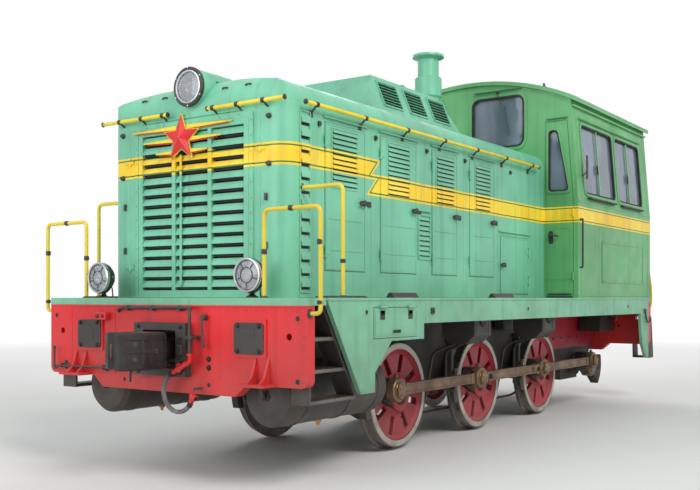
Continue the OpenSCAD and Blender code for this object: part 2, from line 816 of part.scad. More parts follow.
// Raised box on the hood's roof, with sloping sides and ends, moved inward by inset
module roof_box_solid(inset) {
  intersection() {
    along_x(box_rear_x + inset, box_front_x - inset) polygon([[inset - box_hw, eave_z], [inset - box_hw,
      crown_z + 20],
      [inset - box_top_hw, box_top_z - inset], [box_top_hw - inset, box_top_z - inset],
      [box_hw - inset, crown_z + 20], [box_hw - inset, eave_z]]);
    along_y(-box_hw, box_hw) polygon([[box_rear_x + inset, eave_z], [box_front_x - inset, eave_z],
      [box_front_x - inset, crown_z + 30], [box_front_x - inset - box_slope, box_top_z - inset],
      [box_rear_x + inset + box_slope, box_top_z - inset], [box_rear_x + inset, crown_z + 30]]);
  }
}

module roof_box() {
  color(green) difference() {
    roof_box_solid(0);
    roof_box_solid(box_t);
    along_x(hood_rear_x, hood_front_x) hood_section(-0.3);
  }
}

module exhaust_stack() {
  base = crown_z + 0.3;
  bore_z = stack_top_z - 350;
  color(green) translate([stack_x, 0, 0]) rotate_extrude($fn = 64) polygon([[stack_bore_r, stack_top_z],
    [190, stack_top_z], [195, stack_top_z - 30], [stack_r, stack_top_z - 60], [stack_r, 4230],
    [stack_collar_r, 4210], [stack_collar_r, 3990], [stack_r + 10, 3960], [stack_r + 10, 3760], [230, 3600],
    [230, base], [0, base], [0, bore_z], [stack_bore_r, bore_z]]);
}

// Two forward-facing horns on a bracket
module horns() {
  z = box_top_z + 90;
  color(dark) {
    for (y = [-70, 70]) translate([box_rear_x + 500, y, z]) rotate([0, -90, 0]) rotate_extrude($fn = 32)
      polygon([[0, 0], [66, 0], [70, 8], [40, 60], [22, 160], [18, 300], [34, 305], [34, 360], [0, 360]]);
    block([box_rear_x + 270, -90, box_top_z], [box_rear_x + 310, 90, z]);
  }
}

// ---------- cab ----------

// Cross-section of the cab, moved inward by inset, up to the roof's underside
module cab_section(inset) {
  lean_hw = body_hw - cab_lean - inset;
  intersection() {
    polygon([[inset - body_hw, deck_z - inset], [body_hw - inset, deck_z - inset], [body_hw - inset,
      belt_z],
      [lean_hw, cab_eave_z], [lean_hw, cab_top_z], [-lean_hw, cab_top_z], [-lean_hw, cab_eave_z],
        [inset - body_hw, belt_z]]);
    translate([0, roof_cz]) circle(roof_R, $fn = 256);
  }
}

// Half width of the cab outside at a height over the belt
function cab_hw(z) = body_hw - cab_lean * (z - belt_z) / (cab_eave_z - belt_z);

module side_window_shape(w, play) {
  round_rect([cab_front_x - w[1] + play, side_window_low + play], [cab_front_x - w[0] - play,
    side_window_top - play],
    window_r);
}

module end_window_shape(w, play) {
  round_rect([w[0] + play, end_window_low + play], [w[1] - play, end_window_top - play], 110);
}

// Outline of a forward-facing cab door's opening, in Y and Z; the outer edge follows the leaning side
module cab_door_shape(play) {
  out = cab_door_out - play;
  polygon([[cab_door_in + play, cab_door_low_z + play], [out, cab_door_low_z + play], [out, belt_z],
    [cab_hw(cab_door_top_z) - 60 - play, cab_door_top_z - play], [cab_door_in + play,
      cab_door_top_z - play]]);
}

// The door's window narrows upwards with the leaning side
module cab_door_window_shape(play) {
  in = cab_door_in + 35 + play;
  low = 2850 + play;
  top = cab_door_top_z - 110 - play;
  out_low = cab_door_out - 50 - play;
  out_top = cab_hw(top) - 190 - play;
  polygon(rounded([[in, low], [out_low, low], [out_top, top], [in, top]], 55, 4));
}

cab_hinge_zs = [cab_door_low_z + 250, belt_z - 150];
cab_hinge_y = cab_door_out + 1;

module cab_hinges() {
  for (z = cab_hinge_zs) translate([cab_front_x + hinge_off, cab_hinge_y, z]) mirror([1, -1, 0]) children();
}

module cab_body() {
  color(cab_green) {
    difference() {
      along_x(cab_rear_x, cab_front_x) cab_section(0);
      along_x(cab_rear_x + cab_t, cab_front_x - cab_t) cab_section(cab_t);
      block([cab_rear_x + cab_t, cab_t - body_hw, deck_z - cab_t], [cab_front_x - cab_t, body_hw - cab_t,
        deck_z + 1]);
      along_x(cab_rear_x + cab_t, cab_front_x - cab_t) translate([0, roof_cz]) difference() {
        circle(roof_R + 10, $fn = 256);
        circle(roof_R - cab_t - 20, $fn = 256);
        translate([-body_hw, -roof_R]) square([body_w, roof_R + cab_eave_z - roof_cz - 200]);
        for (s = [-1, 1]) translate([s * (body_hw - cab_lean - cab_t + 500), roof_R]) square([1000,
          2000], center = true);
      }
      for (w = front_windows) along_x(cab_front_x - 2 * cab_t, cab_front_x + 1) end_window_shape(w, 0);
      for (w = rear_windows) along_x(cab_rear_x - 1, cab_rear_x + 2 * cab_t) end_window_shape(w, 0);
      both_sides() {
        for (w = side_windows) along_y(body_hw - 400, body_hw + 1) side_window_shape(w, 0);
        along_x(cab_front_x - 2 * cab_t, cab_front_x + 1) cab_door_shape(0);
      }
    }
    both_sides() cab_hinges() wall_hinge();
  }
}

module cab_roof() {
  color(cab_green) along_x(cab_rear_x - roof_overhang, cab_front_x + roof_overhang) intersection() {
    translate([0, roof_cz]) difference() {
      circle(roof_R + roof_t, $fn = 256);
      circle(roof_R, $fn = 256);
    }
    translate([-roof_c - 20, cab_eave_z - 40]) square([2 * roof_c + 40, 600]);
  }
}

module cab_door(side) {
  y = cab_front_x + leaf_proud;
  color(cab_green) on_side(side) {
    difference() {
      along_x(y - 50, y) cab_door_shape(door_gap);
      along_x(y - 60, y + 1) cab_door_window_shape(0);
    }
    bar_x(cab_door_in + 70, 2300, 20, y - 1, y + 40);
    cab_hinges() leaf_hinge();
  }
}

module cab_door_glass(side) {
  x = cab_front_x + leaf_proud - 25;
  color(glass) on_side(side) along_x(x - glass_t / 2, x + glass_t / 2) cab_door_window_shape(pane_play);
}

// Fixed panes: two at each end and two on each side, which lean with the wall
module cab_windows() {
  half = glass_t / 2;
  front_x = cab_front_x - cab_t / 2;
  rear_x = cab_rear_x + cab_t / 2;
  slab = [[side_window_low - 50, -half], [side_window_top + 50, -half], [side_window_top + 50, half],
    [side_window_low - 50, half]];
  color(glass) {
    for (w = front_windows) along_x(front_x - half, front_x + half) end_window_shape(w, pane_play);
    for (w = rear_windows) along_x(rear_x - half, rear_x + half) end_window_shape(w, pane_play);
    both_sides() for (w = side_windows) intersection() {
      along_y(body_hw - 400, body_hw) side_window_shape(w, pane_play);
      along_x(cab_rear_x, cab_front_x) polygon([for (p = slab) [cab_hw(p[0]) - cab_t / 2 + p[1], p[0]]]);
    }
  }
}

module control_desk() {
  x = cab_front_x - cab_t;
  color("#7d8a84") {
    along_y(150, 1000) polygon([[x, deck_z], [x - 480, deck_z], [x - 480, 2380], [x - 420, 2440],
      [x - 40, 2560], [x, 2560]]);
  }
}

module driver_seats() {
  color(dark) for (y = [-620, 560]) translate([cab_front_x - 1250, y, 0]) {
    bar_z(0, 0, 60, deck_z, deck_z + 420);
    along_y(-220, 220) {
      round_rect([-230, deck_z + 420], [230, deck_z + 520], 40);
      round_rect([-300, deck_z + 460], [-210, deck_z + 1050], 40);
    }
  }
}

// ---------- fittings ----------

// A round lamp facing +X with its lens at x, on a foot down to low
module lamp(x, y, z, r, depth, low) {
  translate([x, y, z]) rotate([0, -90, 0]) rotate_extrude($fn = 48)
    polygon([[0, 20], [r - 18, 20], [r - 18, 0], [r, 0], [r, 60], [r * 0.8, depth - 40], [r * 0.4,
      depth], [0, depth]]);
  if (low > 0) block([x - depth / 2 - 25, y - 30, low], [x - depth / 2 + 25, y + 30, z - r * 0.7]);
}

module lamps() {
  lamp_y = 880;
  lamp_z = 1700;
  lamp_r = 140;
  rear_lamp_l = 110;
  fairing_r = 165;
  color("#c9ccce") {
    both_sides() lamp(beam_x - 20, lamp_y, lamp_z, lamp_r, 150, deck_z);
    both_sides() mirror([1, 0, 0]) lamp(-cab_rear_x + rear_lamp_l, lamp_y, 1900, 110, rear_lamp_l - 0.3, 0);
  }
  color(green) difference() {
    union() {
      bar_x(0, crown_z - 60, fairing_r, hood_front_x - 420, hood_front_x + 60);
      bar_x(0, crown_z - 60, fairing_r + 8, hood_front_x + 10, hood_front_x + 60);
    }
    bar_x(0, crown_z - 60, fairing_r - 25, hood_front_x + 40, hood_front_x + 61);
    intersection() {
      along_x(hood_rear_x, hood_front_x + 1) hood_section(-0.3);
      along_y(-hood_hw, hood_hw) hood_side_view(-0.3, hood_rear_x);
    }
  }
  color(cab_green) difference() {
    bar_x(0, cab_top_z - 20, 140, cab_rear_x - 100, cab_rear_x + 300);
    bar_x(0, cab_top_z - 20, 120, cab_rear_x - 101, cab_rear_x - 80);
    along_x(cab_rear_x - 400, cab_front_x) translate([0, roof_cz]) circle(roof_R + roof_t + 0.3, $fn = 256);
    block([cab_rear_x - roof_overhang - 0.3, -300, cab_eave_z], [cab_front_x, 300, cab_top_z - roof_t]);
  }
}

// A handrail loop at a beam corner, drawn for the left front
module corner_loop() {
  r = rail_r;
  foot_z = 1400;
  bar_z(loop_x, loop_in, r, deck_z, loop_top_z + r);
  bar_z(loop_x, loop_out, r, foot_z - r, loop_top_z + r);
  bar_y(loop_x, loop_top_z, r - 1, loop_in, loop_out);
  bar_y(loop_x, foot_z, r - 1, body_hw, loop_out);
}

// A round bar between two points in a plane of constant Y, run on a little at both ends
module bar_xz(y, p, q, r) {
  d = q - p;
  run_on = r / 3;
  translate([p[0], y, p[1]]) rotate([0, atan2(d[0], d[1]), 0]) translate([0, 0, -run_on])
    cylinder(r = r, h = norm(d) + 2 * run_on);
}

// The bowed rail at a rear corner, from the cab's rear wall out and down to the beam
module rear_bow() {
  path = [for (p = [[12.4, 2150], [160, 2090], [350, 1750], [390, 1600], [390, 1440], [340, 1380], [37.4,
    1360]])
    [cab_rear_x - p[0], p[1]]];
  for (i = [1:len(path) - 1]) bar_xz(1400, path[i - 1], path[i], rail_r - 0.5 * (i % 2));
}

// A grab pole that stands on the deck and bends in to the hood
module grab_pole() {
  bar_z(pole_x, pole_y, rail_r, deck_z, pole_top_z + rail_r);
  bar_y(pole_x, pole_top_z, rail_r - 1, hood_hw, pole_y);
}

// The rail along the eaves, on brackets
module eave_rail() {
  x0 = hood_rear_x + 300;
  x1 = hood_front_x - corner_r - 20;
  count = 7;
  z = eave_z - 20;
  bar_x(eave_rail_y, z, rail_r, x0, x1);
  for (i = [0:count - 1]) bar_y(x0 + 60 + i * (x1 - x0 - 120) / (count - 1), z, 12, hood_hw, eave_rail_y);
}

// The rail across the front, on the left of the headlight
module front_rail() {
  z = eave_z - 20;
  x = hood_front_x + 60;
  bar_y(x, z, rail_r, 230, hood_hw + 40);
  for (y = [300, hood_hw - corner_r - 30]) bar_x(y, z, 12, hood_front_x, x);
}

module handrails() {
  color(yellow) both_sides() {
    corner_loop();
    rear_bow();
    grab_pole();
    eave_rail();
    front_rail();
  }
}

// Plan of the coupler's head: a large and a small tooth with the jaw between them
module coupler_head_outline(x0, x1) {
  polygon([[x0, -120], [x0, 120], [x0 + 60, 200], [x1 - 190, 210], [x1 - 30, 150], [x1, 120], [x1, 60],
    [x1 - 60, 20], [x1 - 210, 60], [x1 - 240, -30], [x1 - 150, -90], [x1 - 120, -150], [x1 - 150, -215],
    [x0 + 60, -205]]);
}

module coupler() {
  head_x = beam_x + striker_t + 60;
  face_x = beam_x + coupler_reach;
  color(dark) {
    difference() {
      union() {
        bar_z(draft_pin_x, 0, tail_r, coupler_z - shank_h / 2, coupler_z + shank_h / 2);
        block([draft_pin_x, -shank_hw, coupler_z - shank_h / 2], [head_x + 20, shank_hw,
          coupler_z + shank_h / 2]);
      }
      bar_z(draft_pin_x, 0, draft_pin_r + pin_play, 0, 2 * coupler_z);
    }
    translate([0, 0, coupler_z - 150]) linear_extrude(300) coupler_head_outline(head_x, face_x);
  }
}

// Brake pipe, cock and hose at the front beam; the hose's head hangs on a hook under the beam
module brake_hose() {
  x = beam_x + 100;
  pipe_y = 380;
  pipe_z = 1005;
  arc_y = 250;
  arc_z = 750;
  hook_z = beam_low_z - beam_drop + 40;
  color(dark) {
    bar_z(x, pipe_y, 14, pipe_z, 1380);
    block([beam_x, pipe_y - 20, 1180], [x, pipe_y + 20, 1210]);
    translate([x, arc_y, arc_z]) rotate([90, 0, 90]) rotate([0, 0, 115]) rotate_extrude(angle = 215,
      $fn = 96)
      translate([hose_arc_r, 0]) circle(hose_r, $fn = 24);
  }
  color(red) {
    translate([x, pipe_y, pipe_z]) rotate([118, 0, 0]) cylinder(r = 26, h = 230, $fn = 24);
    translate([x, arc_y, arc_z]) rotate([-30, 0, 0]) block([-32, hose_arc_r - 30, -1], [32,
      hose_arc_r + 36, 80]);
    block([x - 8, arc_y + hose_arc_r - 15, arc_z - 40], [x + 8, arc_y + hose_arc_r + 15, hook_z + 20]);
    block([beam_x, arc_y + hose_arc_r - 15, hook_z], [x + 8, arc_y + hose_arc_r + 15, hook_z + 20]);
  }
}

module brake_hoses() {
  brake_hose();
  rotate([0, 0, 180]) brake_hose();
}

// ---------- the assembly ----------

main_frame();
deck();
beam();  // front_beam
mirror([1, 0, 0]) beam();  // rear_beam
skirt(1);  // skirt_left
skirt(-1);  // skirt_right
locker_lid(1);  // locker_lid_left
locker_lid(-1);  // locker_lid_right
steps();
air_tanks();
wheelset(axle_xs[0]);  // wheelset_front
wheelset(axle_xs[1]);  // wheelset_middle
wheelset(axle_xs[2]);  // wheelset_rear
jackshaft();
side_rod(1);  // side_rod_left
side_rod(-1);  // side_rod_right
suspension();
brake_gear();
sand_boxes();
engine_block();
transmission();
hood_side(1);  // hood_side_left
hood_side(-1);  // hood_side_right
hood_front();
hood_roof();
front_grille();
for (d = hood_doors) hood_door(1, d);
for (d = hood_doors) hood_door(-1, d);
hatch_door(1);  // hatch_door_left
hatch_door(-1);  // hatch_door_right
roof_box();
exhaust_stack();
horns();
cab_body();
cab_roof();
cab_door(1);  // cab_door_left
cab_door(-1);  // cab_door_right
cab_door_glass(1);  // cab_door_glass_left
cab_door_glass(-1);  // cab_door_glass_right
cab_windows();
control_desk();
driver_seats();
lamps();
handrails();
coupler();  // coupler_front
mirror([1, 0, 0]) coupler();  // coupler_rear
brake_hoses();
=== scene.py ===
"""Looks of a rod-coupled diesel shunting locomotive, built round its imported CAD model."""

from math import asin, cos, degrees, hypot, pi, radians, sin

import bmesh
import bpy
from mathutils import Matrix, Vector


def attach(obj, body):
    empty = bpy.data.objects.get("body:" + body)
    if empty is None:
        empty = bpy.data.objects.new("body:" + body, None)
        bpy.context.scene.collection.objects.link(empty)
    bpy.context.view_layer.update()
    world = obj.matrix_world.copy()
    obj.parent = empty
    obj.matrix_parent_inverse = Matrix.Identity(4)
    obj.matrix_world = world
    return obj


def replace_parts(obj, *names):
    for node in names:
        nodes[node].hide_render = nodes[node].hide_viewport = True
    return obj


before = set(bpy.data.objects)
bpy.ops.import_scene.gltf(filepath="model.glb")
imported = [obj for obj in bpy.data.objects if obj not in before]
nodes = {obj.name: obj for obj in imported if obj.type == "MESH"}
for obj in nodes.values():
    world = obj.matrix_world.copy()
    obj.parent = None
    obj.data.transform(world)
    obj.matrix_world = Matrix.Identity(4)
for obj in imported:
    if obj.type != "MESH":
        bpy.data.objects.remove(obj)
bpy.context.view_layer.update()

# ---------- materials ----------


def rgb(r, g, b):
    """A colour given as it looks on a screen, 0 to 255, for a shader."""
    return [((c / 255 + 0.055) / 1.055) ** 2.4 if c > 10 else c / 3295 for c in (r, g, b)] + [1]


def shade(colour, k):
    """The colour made k times as bright."""
    return [min(1, c * k) for c in colour[:3]] + [1]


class Finish:
    """A procedural material, with short calls that wire its nodes."""

    def __init__(self, name):
        self.material = bpy.data.materials.new(name)
        self.material.use_nodes = True
        self.tree = self.material.node_tree
        self.shader = self.tree.nodes["Principled BSDF"]
        self.place = self.node("ShaderNodeTexCoord").outputs["Object"]
        split = self.node("ShaderNodeSeparateXYZ")
        self.put(split.inputs[0], self.place)
        self.x, self.y, self.z = split.outputs

    def node(self, kind, **settings):
        """A new node with these settings."""
        made = self.tree.nodes.new(kind)
        for key, value in settings.items():
            setattr(made, key, value)
        return made

    def put(self, socket, value):
        """Feeds a socket from another one, or sets it to a plain value."""
        if isinstance(value, bpy.types.NodeSocket):
            self.tree.links.new(value, socket)
        else:
            socket.default_value = value

    def math(self, operation, *values):
        made = self.node("ShaderNodeMath", operation=operation)
        for socket, value in zip(made.inputs, values):
            self.put(socket, value)
        return made.outputs[0]

    def span(self, value, low, high, to_low=0.0, to_high=1.0):
        """Value from low..high spread over to_low..to_high, and held at the ends."""
        made = self.node("ShaderNodeMapRange")
        for socket, number in zip(made.inputs, (value, low, high, to_low, to_high)):
            self.put(socket, number)
        return made.outputs[0]

    def noise(self, scale, stretch=(1, 1, 1), detail=4):
        """Noise over the object's own coordinates."""
        mapping = self.node("ShaderNodeMapping")
        self.put(mapping.inputs["Vector"], self.place)
        mapping.inputs["Scale"].default_value = stretch
        made = self.node("ShaderNodeTexNoise")
        self.put(made.inputs["Vector"], mapping.outputs[0])
        made.inputs["Scale"].default_value = scale
        made.inputs["Detail"].default_value = detail
        return made.outputs[0]

    def mix(self, share, a, b):
        """Colour a where share is 0, b where it is 1."""
        made = self.node("ShaderNodeMix", data_type="RGBA")
        self.put(made.inputs[0], share)
        self.put(made.inputs[6], a)
        self.put(made.inputs[7], b)
        return made.outputs[2]

    def edges(self, radius):
        """Near 1 on corners and edges, 0 on flat faces: where paint is chipped, and where metal gets a painted
        highlight.
        """
        rounded = self.node("ShaderNodeBevel", samples=4)
        rounded.inputs["Radius"].default_value = radius
        geometry = self.node("ShaderNodeNewGeometry")
        dot = self.node("ShaderNodeVectorMath", operation="DOT_PRODUCT")
        self.put(dot.inputs[0], rounded.outputs[0])
        self.put(dot.inputs[1], geometry.outputs["Normal"])
        return self.span(dot.outputs["Value"], 0.98, 0.8)

    def bump(self, height, strength, distance, below=None):
        """A normal with relief, over the relief below."""
        made = self.node("ShaderNodeBump")
        self.put(made.inputs["Height"], height)
        made.inputs["Strength"].default_value = strength
        made.inputs["Distance"].default_value = distance
        if below:
            self.put(made.inputs["Normal"], below)
        return made.outputs[0]

    def done(self, colour, roughness, normal=None, metallic=0.0):
        """Wires the shader and gives back the material."""
        self.put(self.shader.inputs["Base Color"], colour)
        self.put(self.shader.inputs["Roughness"], roughness)
        self.put(self.shader.inputs["Metallic"], metallic)
        if normal:
            self.put(self.shader.inputs["Normal"], normal)
        return self.material


# The band steps down on the hood's side: heights of its upper and lower run, and where the step slants
BAND_HIGH = (2.608, 2.798)
BAND_LOW = (2.458, 2.658)
STEP_REAR, STEP_FRONT = 2.50, 2.59
PIN_LINE = (0.018, 0.031)
PRIMER = rgb(122, 112, 98)
ROAD_DUST = rgb(104, 96, 84)


def band(f, base):
    """The yellow band with its green lines, over the base colour, by place alone."""
    def inside(run, slant, other_edge):
        low = f.math("SUBTRACT", f.z, run[0])
        high = f.math("SUBTRACT", run[1], f.z)
        end = f.math("MAXIMUM", f.math("MULTIPLY", slant, 0.7), other_edge)
        return f.math("MINIMUM", f.math("MINIMUM", low, high), end)

    lean = f.math("ADD", f.x, f.z)
    behind = f.math("SUBTRACT", lean, STEP_REAR + BAND_HIGH[1])
    ahead = f.math("SUBTRACT", STEP_FRONT + BAND_HIGH[0], lean)
    depth = f.math("MAXIMUM", inside(BAND_HIGH, behind, f.math("SUBTRACT", BAND_LOW[1], f.z)),
                   inside(BAND_LOW, ahead, f.math("SUBTRACT", f.z, BAND_HIGH[0])))
    yellow = f.mix(f.span(f.noise(1.6), 0.35, 0.68), rgb(246, 200, 22), rgb(255, 226, 70))
    line = f.math("MULTIPLY", f.math("GREATER_THAN", depth, PIN_LINE[0]), f.math("LESS_THAN", depth, PIN_LINE[1]))
    yellow = f.mix(line, yellow, rgb(58, 122, 52))
    return f.mix(f.math("GREATER_THAN", depth, 0.0), base, yellow)


def paint(name, colour, tone=0.2, streaks=0.3, dust=0.35, dust_z=(0.4, 1.9), gloss=0.4, wear=0.5, banded=False):
    """Old enamel: drifting tone, rain streaks, dust low down, chips at the edges and a slight orange peel."""
    f = Finish(name)
    drift = f.span(f.noise(0.9, detail=3), 0.32, 0.7)
    base = f.mix(drift, shade(colour, 1 - tone), shade(colour, 1 + tone))
    patch = f.span(f.noise(3.2, (1, 1, 0.6), 6), 0.5, 0.74, 0, tone)
    base = f.mix(patch, base, shade(colour, 0.55))
    if banded:
        base = band(f, base)
    run = f.span(f.noise(1.0, (11, 11, 0.55), 5), 0.53, 0.8, 0, streaks)
    base = f.mix(run, base, shade(colour, 0.34))
    low = f.span(f.z, dust_z[0], dust_z[1], 1, 0)
    grime = f.math("MULTIPLY", low, f.span(f.noise(5.5, detail=8), 0.3, 0.72, 0.25, dust * 1.6))
    base = f.mix(grime, base, ROAD_DUST)
    if wear:
        chip = f.math("MULTIPLY", f.edges(0.012), f.span(f.noise(38, detail=6), 0.45, 0.6, 0, wear))
        base = f.mix(chip, base, PRIMER)
    rough = f.math("ADD", f.span(f.noise(4.5, detail=6), 0.3, 0.7, gloss - 0.1, gloss + 0.12),
                   f.math("MULTIPLY", grime, 0.35))
    peel = f.bump(f.noise(140, detail=2), 0.12, 0.002)
    dents = f.bump(f.noise(2.3, detail=3), 0.25, 0.02, peel)
    return f.done(base, rough, dents)


def metal(name, colour, rust=rgb(96, 58, 36), amount=0.4, rough=0.45, metallic=0.8, grease=0.0, scale=9):
    """Bare or oiled metal with rust bloom, grease, a cast or machined grain and a highlight painted along its edges."""
    f = Finish(name)
    bloom = f.span(f.noise(scale, detail=9), 0.46, 0.68, 0, amount)
    base = f.mix(f.span(f.noise(3.1), 0.3, 0.7), shade(colour, 0.72), shade(colour, 1.25))
    base = f.mix(bloom, base, rust)
    oil = f.span(f.noise(4.2, (1, 1, 0.7), 6), 0.48, 0.62, 0, grease)
    base = f.mix(oil, base, rgb(22, 18, 16))
    # Lighter colour along the edges: a painted highlight
    painted_edge_highlight = f.span(f.edges(0.006), 0.2, 0.9, 0, 0.5)
    base = f.mix(painted_edge_highlight, base, shade(colour, 1.7))
    spread = f.math("ADD", f.span(f.noise(14, detail=6), 0.3, 0.7, rough - 0.12, rough + 0.15),
                    f.math("MULTIPLY", bloom, 0.3))
    grain = f.bump(f.noise(60, detail=6), 0.25, 0.003)
    return f.done(base, spread, f.bump(bloom, 0.3, 0.003, grain), f.span(bloom, 0, 1, metallic, 0.1))


def glass(name, tint, rough=0.06):
    """Old window glass: tinted, with faint dusty smears."""
    f = Finish(name)
    smear = f.span(f.noise(3.5, (1, 1, 0.5), 6), 0.4, 0.75)
    colour = f.mix(smear, tint, shade(tint, 1.35))
    f.shader.inputs["IOR"].default_value = 1.45
    f.shader.inputs["Transmission Weight"].default_value = 0.72
    wave = f.bump(f.noise(1.7, detail=2), 0.08, 0.02)
    return f.done(colour, f.span(smear, 0, 1, rough, rough + 0.16), wave)


def rubber(name, colour=rgb(30, 29, 29), rough=0.72):
    """Perished rubber, greyed and finely crazed."""
    f = Finish(name)
    base = f.mix(f.span(f.noise(16, detail=7), 0.35, 0.7), colour, shade(colour, 2.2))
    return f.done(base, f.span(f.noise(9), 0.3, 0.7, rough - 0.1, rough + 0.12), f.bump(f.noise(190), 0.3, 0.001))


def leather(name):
    """Brown hide with a fine pebbled grain."""
    f = Finish(name)
    cell = f.node("ShaderNodeTexVoronoi")
    f.put(cell.inputs["Vector"], f.place)
    cell.inputs["Scale"].default_value = 220
    base = f.mix(f.span(f.noise(7, detail=6), 0.35, 0.7), rgb(66, 42, 30), rgb(104, 70, 50))
    return f.done(base, f.span(f.noise(11), 0.3, 0.7, 0.42, 0.62), f.bump(cell.outputs["Distance"], 0.3, 0.002))


HOOD_GREEN = rgb(118, 194, 160)
CAB_GREEN = rgb(98, 172, 110)
hood_paint = paint("hood_enamel", HOOD_GREEN, tone=0.21, streaks=0.38, banded=True)
cab_paint = paint("cab_enamel", CAB_GREEN, tone=0.23, banded=True, streaks=0.32)
skirt_paint = paint("skirt_enamel", rgb(124, 194, 158), tone=0.15, streaks=0.35, dust=0.5)
red_paint = paint("beam_enamel", rgb(222, 26, 36), tone=0.2, streaks=0.35, dust=0.3, dust_z=(0.5, 1.5), gloss=0.36)
crimson = paint("wheel_enamel", rgb(176, 26, 50), tone=0.24, streaks=0.2, dust=0.4, dust_z=(0.0, 0.95), gloss=0.42)
tyre_white = paint("tyre_enamel", rgb(214, 205, 196), tone=0.12, streaks=0.35, dust=0.6, dust_z=(0.0, 1.3), wear=0.7)
tread = metal("tyre_steel", rgb(118, 112, 106), amount=0.3, rough=0.3, metallic=0.9)
black = paint("gear_enamel", rgb(46, 44, 44), tone=0.3, streaks=0.2, dust=0.5, dust_z=(0.1, 1.5), gloss=0.5, wear=0.6)
iron = metal("cast_iron", rgb(52, 48, 46), amount=0.45, rough=0.55, metallic=0.5, grease=0.5)
rod = metal("rod_steel", rgb(126, 104, 84), rust=rgb(120, 82, 48), amount=0.5, rough=0.42, metallic=0.6, grease=0.4)
brass = metal("rod_brass", rgb(176, 134, 70), amount=0.3, rough=0.38, metallic=0.8)
chrome = metal("lamp_chrome", rgb(196, 198, 200), rust=rgb(120, 110, 98), amount=0.2, rough=0.22, metallic=0.95)
reflector = metal("lamp_reflector", rgb(214, 216, 220), amount=0.05, rough=0.16, metallic=0.97)
yellow = paint("rail_enamel", rgb(244, 214, 52), tone=0.14, streaks=0.3, dust=0.2, dust_z=(1.0, 3.0), wear=0.6)
star_red = paint("star_enamel", rgb(214, 22, 30), tone=0.12, streaks=0.1, dust=0, gloss=0.32)
# Near-black finish for strips and discs set into slots, holes and recesses: painted shade
painted_gap_shade = paint("slot_shadow", rgb(26, 34, 30), tone=0.2, streaks=0.1, dust=0, gloss=0.7, wear=0)
pane = glass("window_pane", rgb(168, 182, 200))
lens = glass("lamp_lens", rgb(226, 230, 236), 0.03)
seal = rubber("window_seal")
hose_rubber = rubber("hose_rubber", rgb(86, 84, 84), 0.66)
engine_paint = paint("engine_enamel", rgb(70, 84, 84), dust_z=(1.5, 2.7))
desk_paint = paint("desk_enamel", rgb(120, 134, 128), dust=0.1)
seat_leather = leather("seat_leather")
coupler_iron = metal("coupler_iron", rgb(50, 48, 48), rust=rgb(84, 60, 46), amount=0.28, rough=0.5, metallic=0.4,
                     grease=0.5, scale=6)

# ---------- shapes ----------

LEFT = Matrix()
RIGHT = Matrix.Diagonal((1, -1, 1, 1))
FRONT = Matrix()
REAR = Matrix.Diagonal((-1, 1, 1, 1))
SIDES = ((LEFT, "left"), (RIGHT, "right"))
ENDS = (("front", FRONT), ("rear", REAR))
CAPS = {"x": (1, 2, 0), "y": (0, 2, 1), "z": (0, 1, 2)}
SUNK = 0.001  # How far details reach into the face that they stand on


def at(origin, u, v, w):
    """The matrix that puts a shape drawn along u, v, w (right, up, out) at origin."""
    return Matrix([[*row, o] for row, o in zip(zip(u, v, w), origin)] + [[0, 0, 0, 1]])


def inset(outline, d):
    """A closed outline moved inwards by d."""
    area = sum(p[0] * q[1] - q[0] * p[1] for p, q in zip(outline, outline[1:] + outline[:1]))
    turn = 1 if area > 0 else -1
    moved = []
    for i, here in enumerate(outline):
        before, after = Vector(outline[i - 1]), Vector(outline[(i + 1) % len(outline)])
        here = Vector(here)
        a, b = (here - before).normalized(), (after - here).normalized()
        na, nb = Vector((-a.y, a.x)) * turn, Vector((-b.y, b.x)) * turn
        moved.append(tuple(here + (na + nb) * d / max(0.35, 1 + na.dot(nb))))
    return moved


def arc(cx, cy, r, a0, a1, steps=8):
    """Points along an arc from angle a0 to a1, in degrees."""
    return [(cx + r * cos(radians(a0 + (a1 - a0) * i / steps)), cy + r * sin(radians(a0 + (a1 - a0) * i / steps)))
            for i in range(steps + 1)]


def circle(cx, cy, r, count, first=0):
    """Points evenly round a circle, from the angle first."""
    return arc(cx, cy, r, first, first + 360, count)[:-1]


def rounded(x0, y0, x1, y1, r):
    """A rectangle with round corners, as an outline."""
    return (arc(x1 - r, y1 - r, r, 0, 90, 5) + arc(x0 + r, y1 - r, r, 90, 180, 5)
            + arc(x0 + r, y0 + r, r, 180, 270, 5) + arc(x1 - r, y0 + r, r, 270, 360, 5))


def bend(points, r, steps=5):
    """A path whose inner corners are rounded with radius about r."""
    points = [Vector(p) for p in points]
    path = [points[0]]
    for a, p, b in zip(points, points[1:], points[2:]):
        reach = min(r, (a - p).length * 0.49, (b - p).length * 0.49)
        start, end = p + (a - p).normalized() * reach, p + (b - p).normalized() * reach
        for i in range(steps + 1):
            t = i / steps
            path.append(start * (1 - t) ** 2 + p * 2 * t * (1 - t) + end * t * t)
    return path + [points[-1]]


